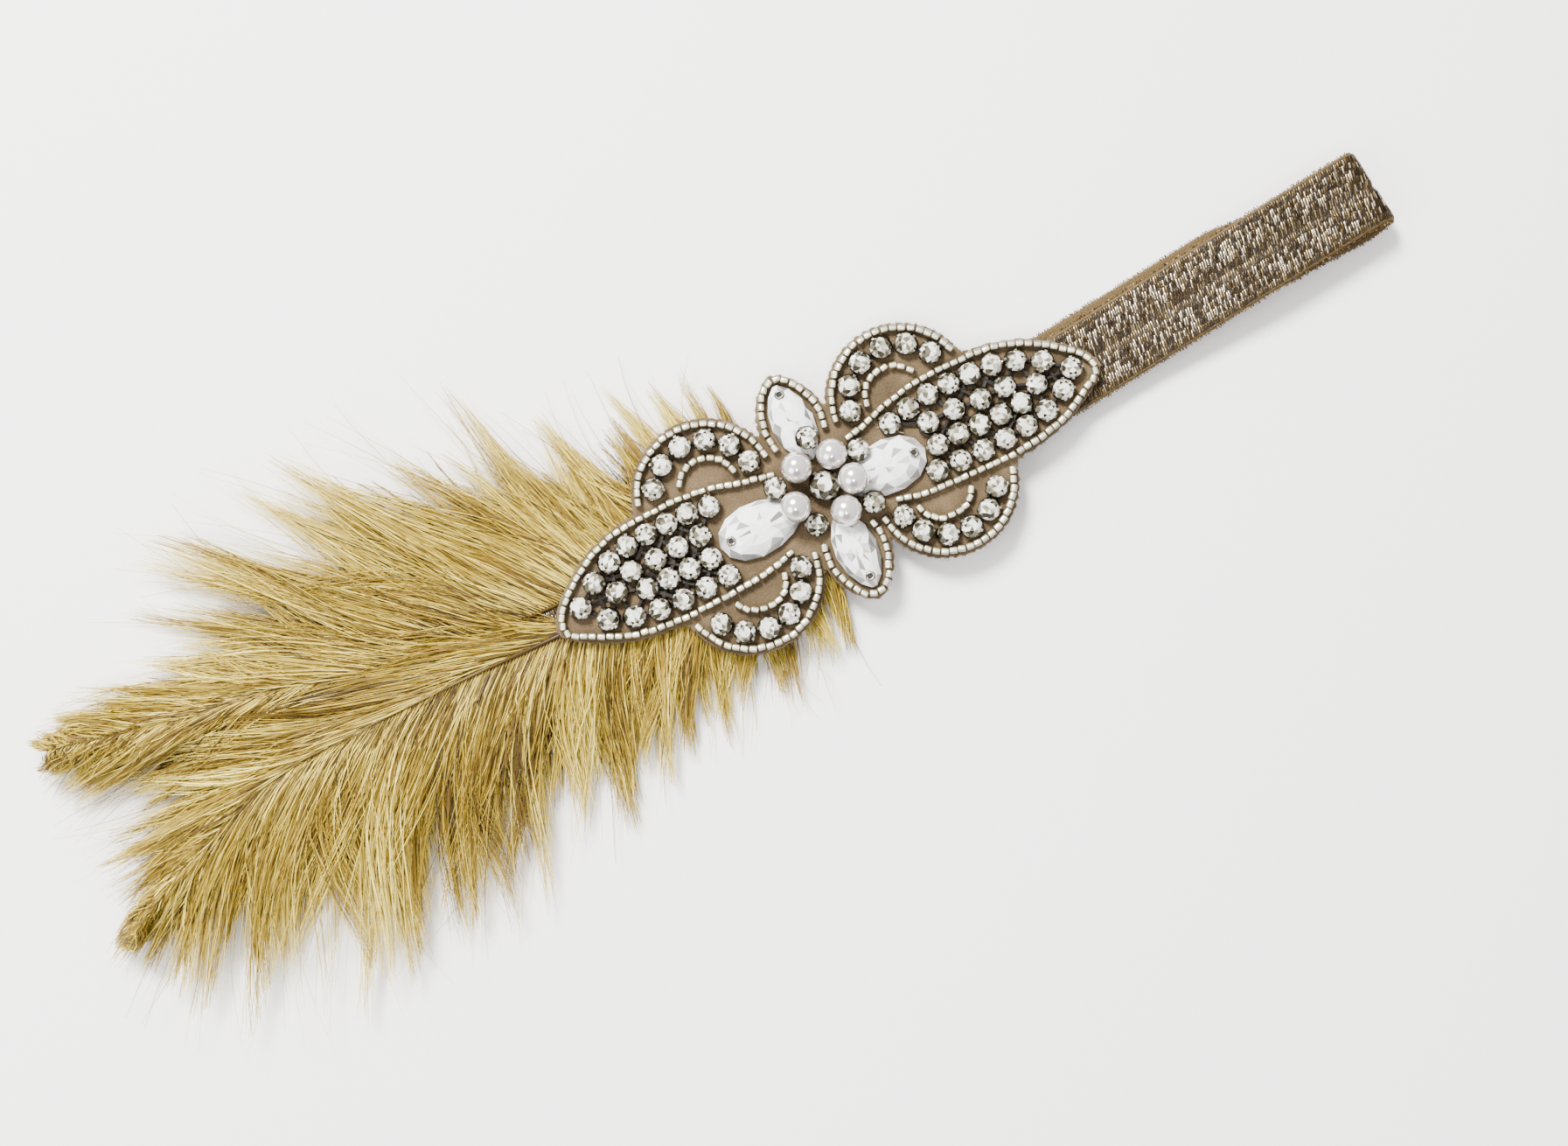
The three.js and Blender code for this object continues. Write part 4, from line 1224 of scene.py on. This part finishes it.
def make_strands(name, plume, side, kind, seed):
    random = rng(seed)
    count = int(kind["strands"] * side["share"])
    t = np.linspace(0, 1, BARB_STEPS) ** 0.85
    flat, at, lock, stray = strand_courses(plume, side, kind, count, random, t)
    height = strand_heights(plume, flat, at, lock, side["locks"], kind, random, t)
    paths = np.concatenate([flat, height[..., None]], axis=-1)
    taper = np.interp(t, [0, 0.2, 0.7, 1], [1.0, 1.0, 0.85, 0.35])
    thin = np.where(stray, 0.85, 1.0) * random.uniform(0.75, 1.2, count)
    widths = kind["width"] * taper * thin[:, None]
    tone = strand_tones(at, lock, side["locks"], kind, random, t)
    if kind["round"]:
        points, faces = tubes(paths, widths / 2, 3, seed + 1)
    else:
        points, faces = ribbons(paths, widths, seed + 1)
    tone = np.repeat(tone.ravel(), len(points) // tone.size)
    dress(make_mesh(name, points, faces, [PLUME], not kind["round"], tone), "plume")


def make_shaft(name, node, plume):
    at = np.linspace(0, 1, 90)
    x = -at * PLUME_REACH
    z = shaft_z(plume, x) + np.interp(at, plume["above"]["at"], plume["above"]["mm"])
    path = np.stack([x, shaft_y(plume, at), z], axis=-1)[None]
    radii = np.interp(at, [0, 0.35, 0.5, 0.75, 1], [0.76, 0.52, 0.33, 0.16, 0.08])[None]
    sides = 8
    points, faces = tubes(path, radii, sides, 3)
    tone = np.repeat(np.interp(at, plume["paleness"]["at"], plume["paleness"]["tone"]), sides)
    dress(make_mesh(name, points, faces, [SHAFT], True, tone), "plume", node)


def make_plumes():
    for index, (node, plume) in enumerate(PLUMES.items()):
        make_shaft(node + "_shaft", node, plume)
        for layer, (word, kind) in enumerate(BARB_KINDS.items()):
            for side in plume["sides"]:
                hand = "upper" if side["way"] > 0 else "lower"
                seed = 500 + 100 * index + 10 * layer + side["way"]
                make_strands(f"{node}_{word}_{hand}", plume, side, kind, seed)


# Stage.
def make_stage():
    bpy.ops.mesh.primitive_plane_add(size=6)
    floor = bpy.context.object
    floor.name = "pale_floor"
    material, _, _, shader = new_material("pale_floor")
    set_inputs(shader, {"Base Color": (0.95, 0.935, 0.925, 1), "Roughness": 0.7})
    floor.data.materials.append(material)


def area_light(name, place, size, power, colour=(1, 1, 1)):
    """A round lamp, in metres and watts, turned to the origin."""
    light = bpy.data.lights.new(name, "AREA")
    light.shape = "DISK"
    light.size = size
    light.energy = power
    light.color = colour
    lamp = bpy.data.objects.new(name, light)
    lamp.location = place
    lamp.rotation_euler = (-Vector(place)).to_track_quat("-Z", "Y").to_euler()
    bpy.context.scene.collection.objects.link(lamp)


def make_world():
    """An even pale studio, with one dark round shape above and in front for stones to mirror."""
    world = bpy.data.worlds.new("studio")
    bpy.context.scene.world = world
    world.use_nodes = True
    nodes, links = world.node_tree.nodes, world.node_tree.links
    nearness = nodes.new("ShaderNodeVectorMath")
    nearness.operation = "DOT_PRODUCT"
    nearness.inputs[1].default_value = from_front(SHADE_TILT)
    links.new(nodes.new("ShaderNodeTexCoord").outputs["Generated"], nearness.inputs[0])
    edge = math.cos(math.radians(SHADE_RADIUS))
    stops = [(edge - 0.05, (1.0, 0.995, 0.99)), (edge + 0.03, (0.06, 0.055, 0.05))]
    colour = ramp(nodes, links, nearness.outputs["Value"], stops)
    links.new(colour, nodes["Background"].inputs["Color"])
    set_inputs(nodes["Background"], {"Strength": WORLD_STRENGTH})


def from_front(tilt):
    """A direction tipped from straight up towards the photograph's lower edge, in degrees."""
    turn = math.radians(VIEW_TURN)
    lean = math.radians(tilt)
    return (math.sin(turn) * math.sin(lean), -math.cos(turn) * math.sin(lean), math.cos(lean))


def make_lights():
    area_light("key", (-0.1, 0.75, 0.95), 0.4, 30.0, (1.0, 0.99, 0.97))
    area_light("fill", (-0.8, -0.1, 0.7), 0.7, 5.0, (0.97, 0.98, 1.0))
    area_light("spark", Vector(from_front(SPARK_TILT)) * 0.65, 0.06, 1.0)
    bpy.context.scene.view_settings.look = "AgX - Medium High Contrast"


def make_camera():
    turn = math.radians(VIEW_TURN)
    right = Vector((math.cos(turn), math.sin(turn), 0))
    ahead = Vector((-math.sin(turn), math.cos(turn), 0))
    elevation = math.radians(VIEW_ELEVATION)
    back = -ahead * math.cos(elevation) + Vector((0, 0, 1)) * math.sin(elevation)
    distance = LENS / SENSOR * PHOTO_WIDTH / PIXELS_PER_MM * MM
    data = bpy.data.cameras.new("camera")
    data.lens = LENS
    data.sensor_width = SENSOR
    data.clip_start = 0.01
    camera = bpy.data.objects.new("camera", data)
    target = Vector(VIEW_TARGET) * MM
    up = back.cross(right)
    rotation = Matrix((right, up, back)).transposed().to_4x4()
    camera.matrix_world = Matrix.Translation(target + back * distance) @ rotation
    bpy.context.scene.collection.objects.link(camera)
    bpy.context.scene.camera = camera


STITCH = toned_material("metal_stitches", STITCH_STOPS, 0.3, metallic=0.7)
STONE = toned_material("crystal_painted_reflections", CHATON_REFLECTION_STOPS, 0.12, metallic=0.25, coat=0.35)
CRYSTAL = toned_material("sewn_crystal", CRYSTAL_REFLECTION_STOPS, 0.1, metallic=0.05, coat=0.6)
SILVER = toned_material("claw_silver", CUP_SHADE_AND_SILVER_STOPS, 0.3, metallic=1.0)
# Netting threads, darkened as painted shade between the stones.
NETTING_AND_SHADE = yarn_material("netting_and_painted_shade", (0.012, 0.009, 0.006), (0.04, 0.032, 0.024), 0.0, 0.7)
THREAD = yarn_material("pale_thread", (0.30, 0.24, 0.16), (0.52, 0.45, 0.34), 0.0, 0.5)
# The hole's depth as a near-black disc: painted shade.
HOLE_SHADE = yarn_material("hole_painted_shade", (0.01, 0.01, 0.01), (0.03, 0.03, 0.03), 0.0, 0.6)
PEARL = pearl_material()
FELT = felt_material()
PLUME = toned_material("plume_barbs", PLUME_STOPS, 0.62, sheen=0.15)
SHAFT = toned_material("plume_shaft", SHAFT_STOPS, 0.45)

make_camera()
make_stage()
make_world()
make_lights()
make_band()
make_stitches()
make_picots()
make_felt()
make_stone_fields()
make_cluster()
make_sew_stones()
make_pearls()
make_beads()
make_threads()
make_plumes()
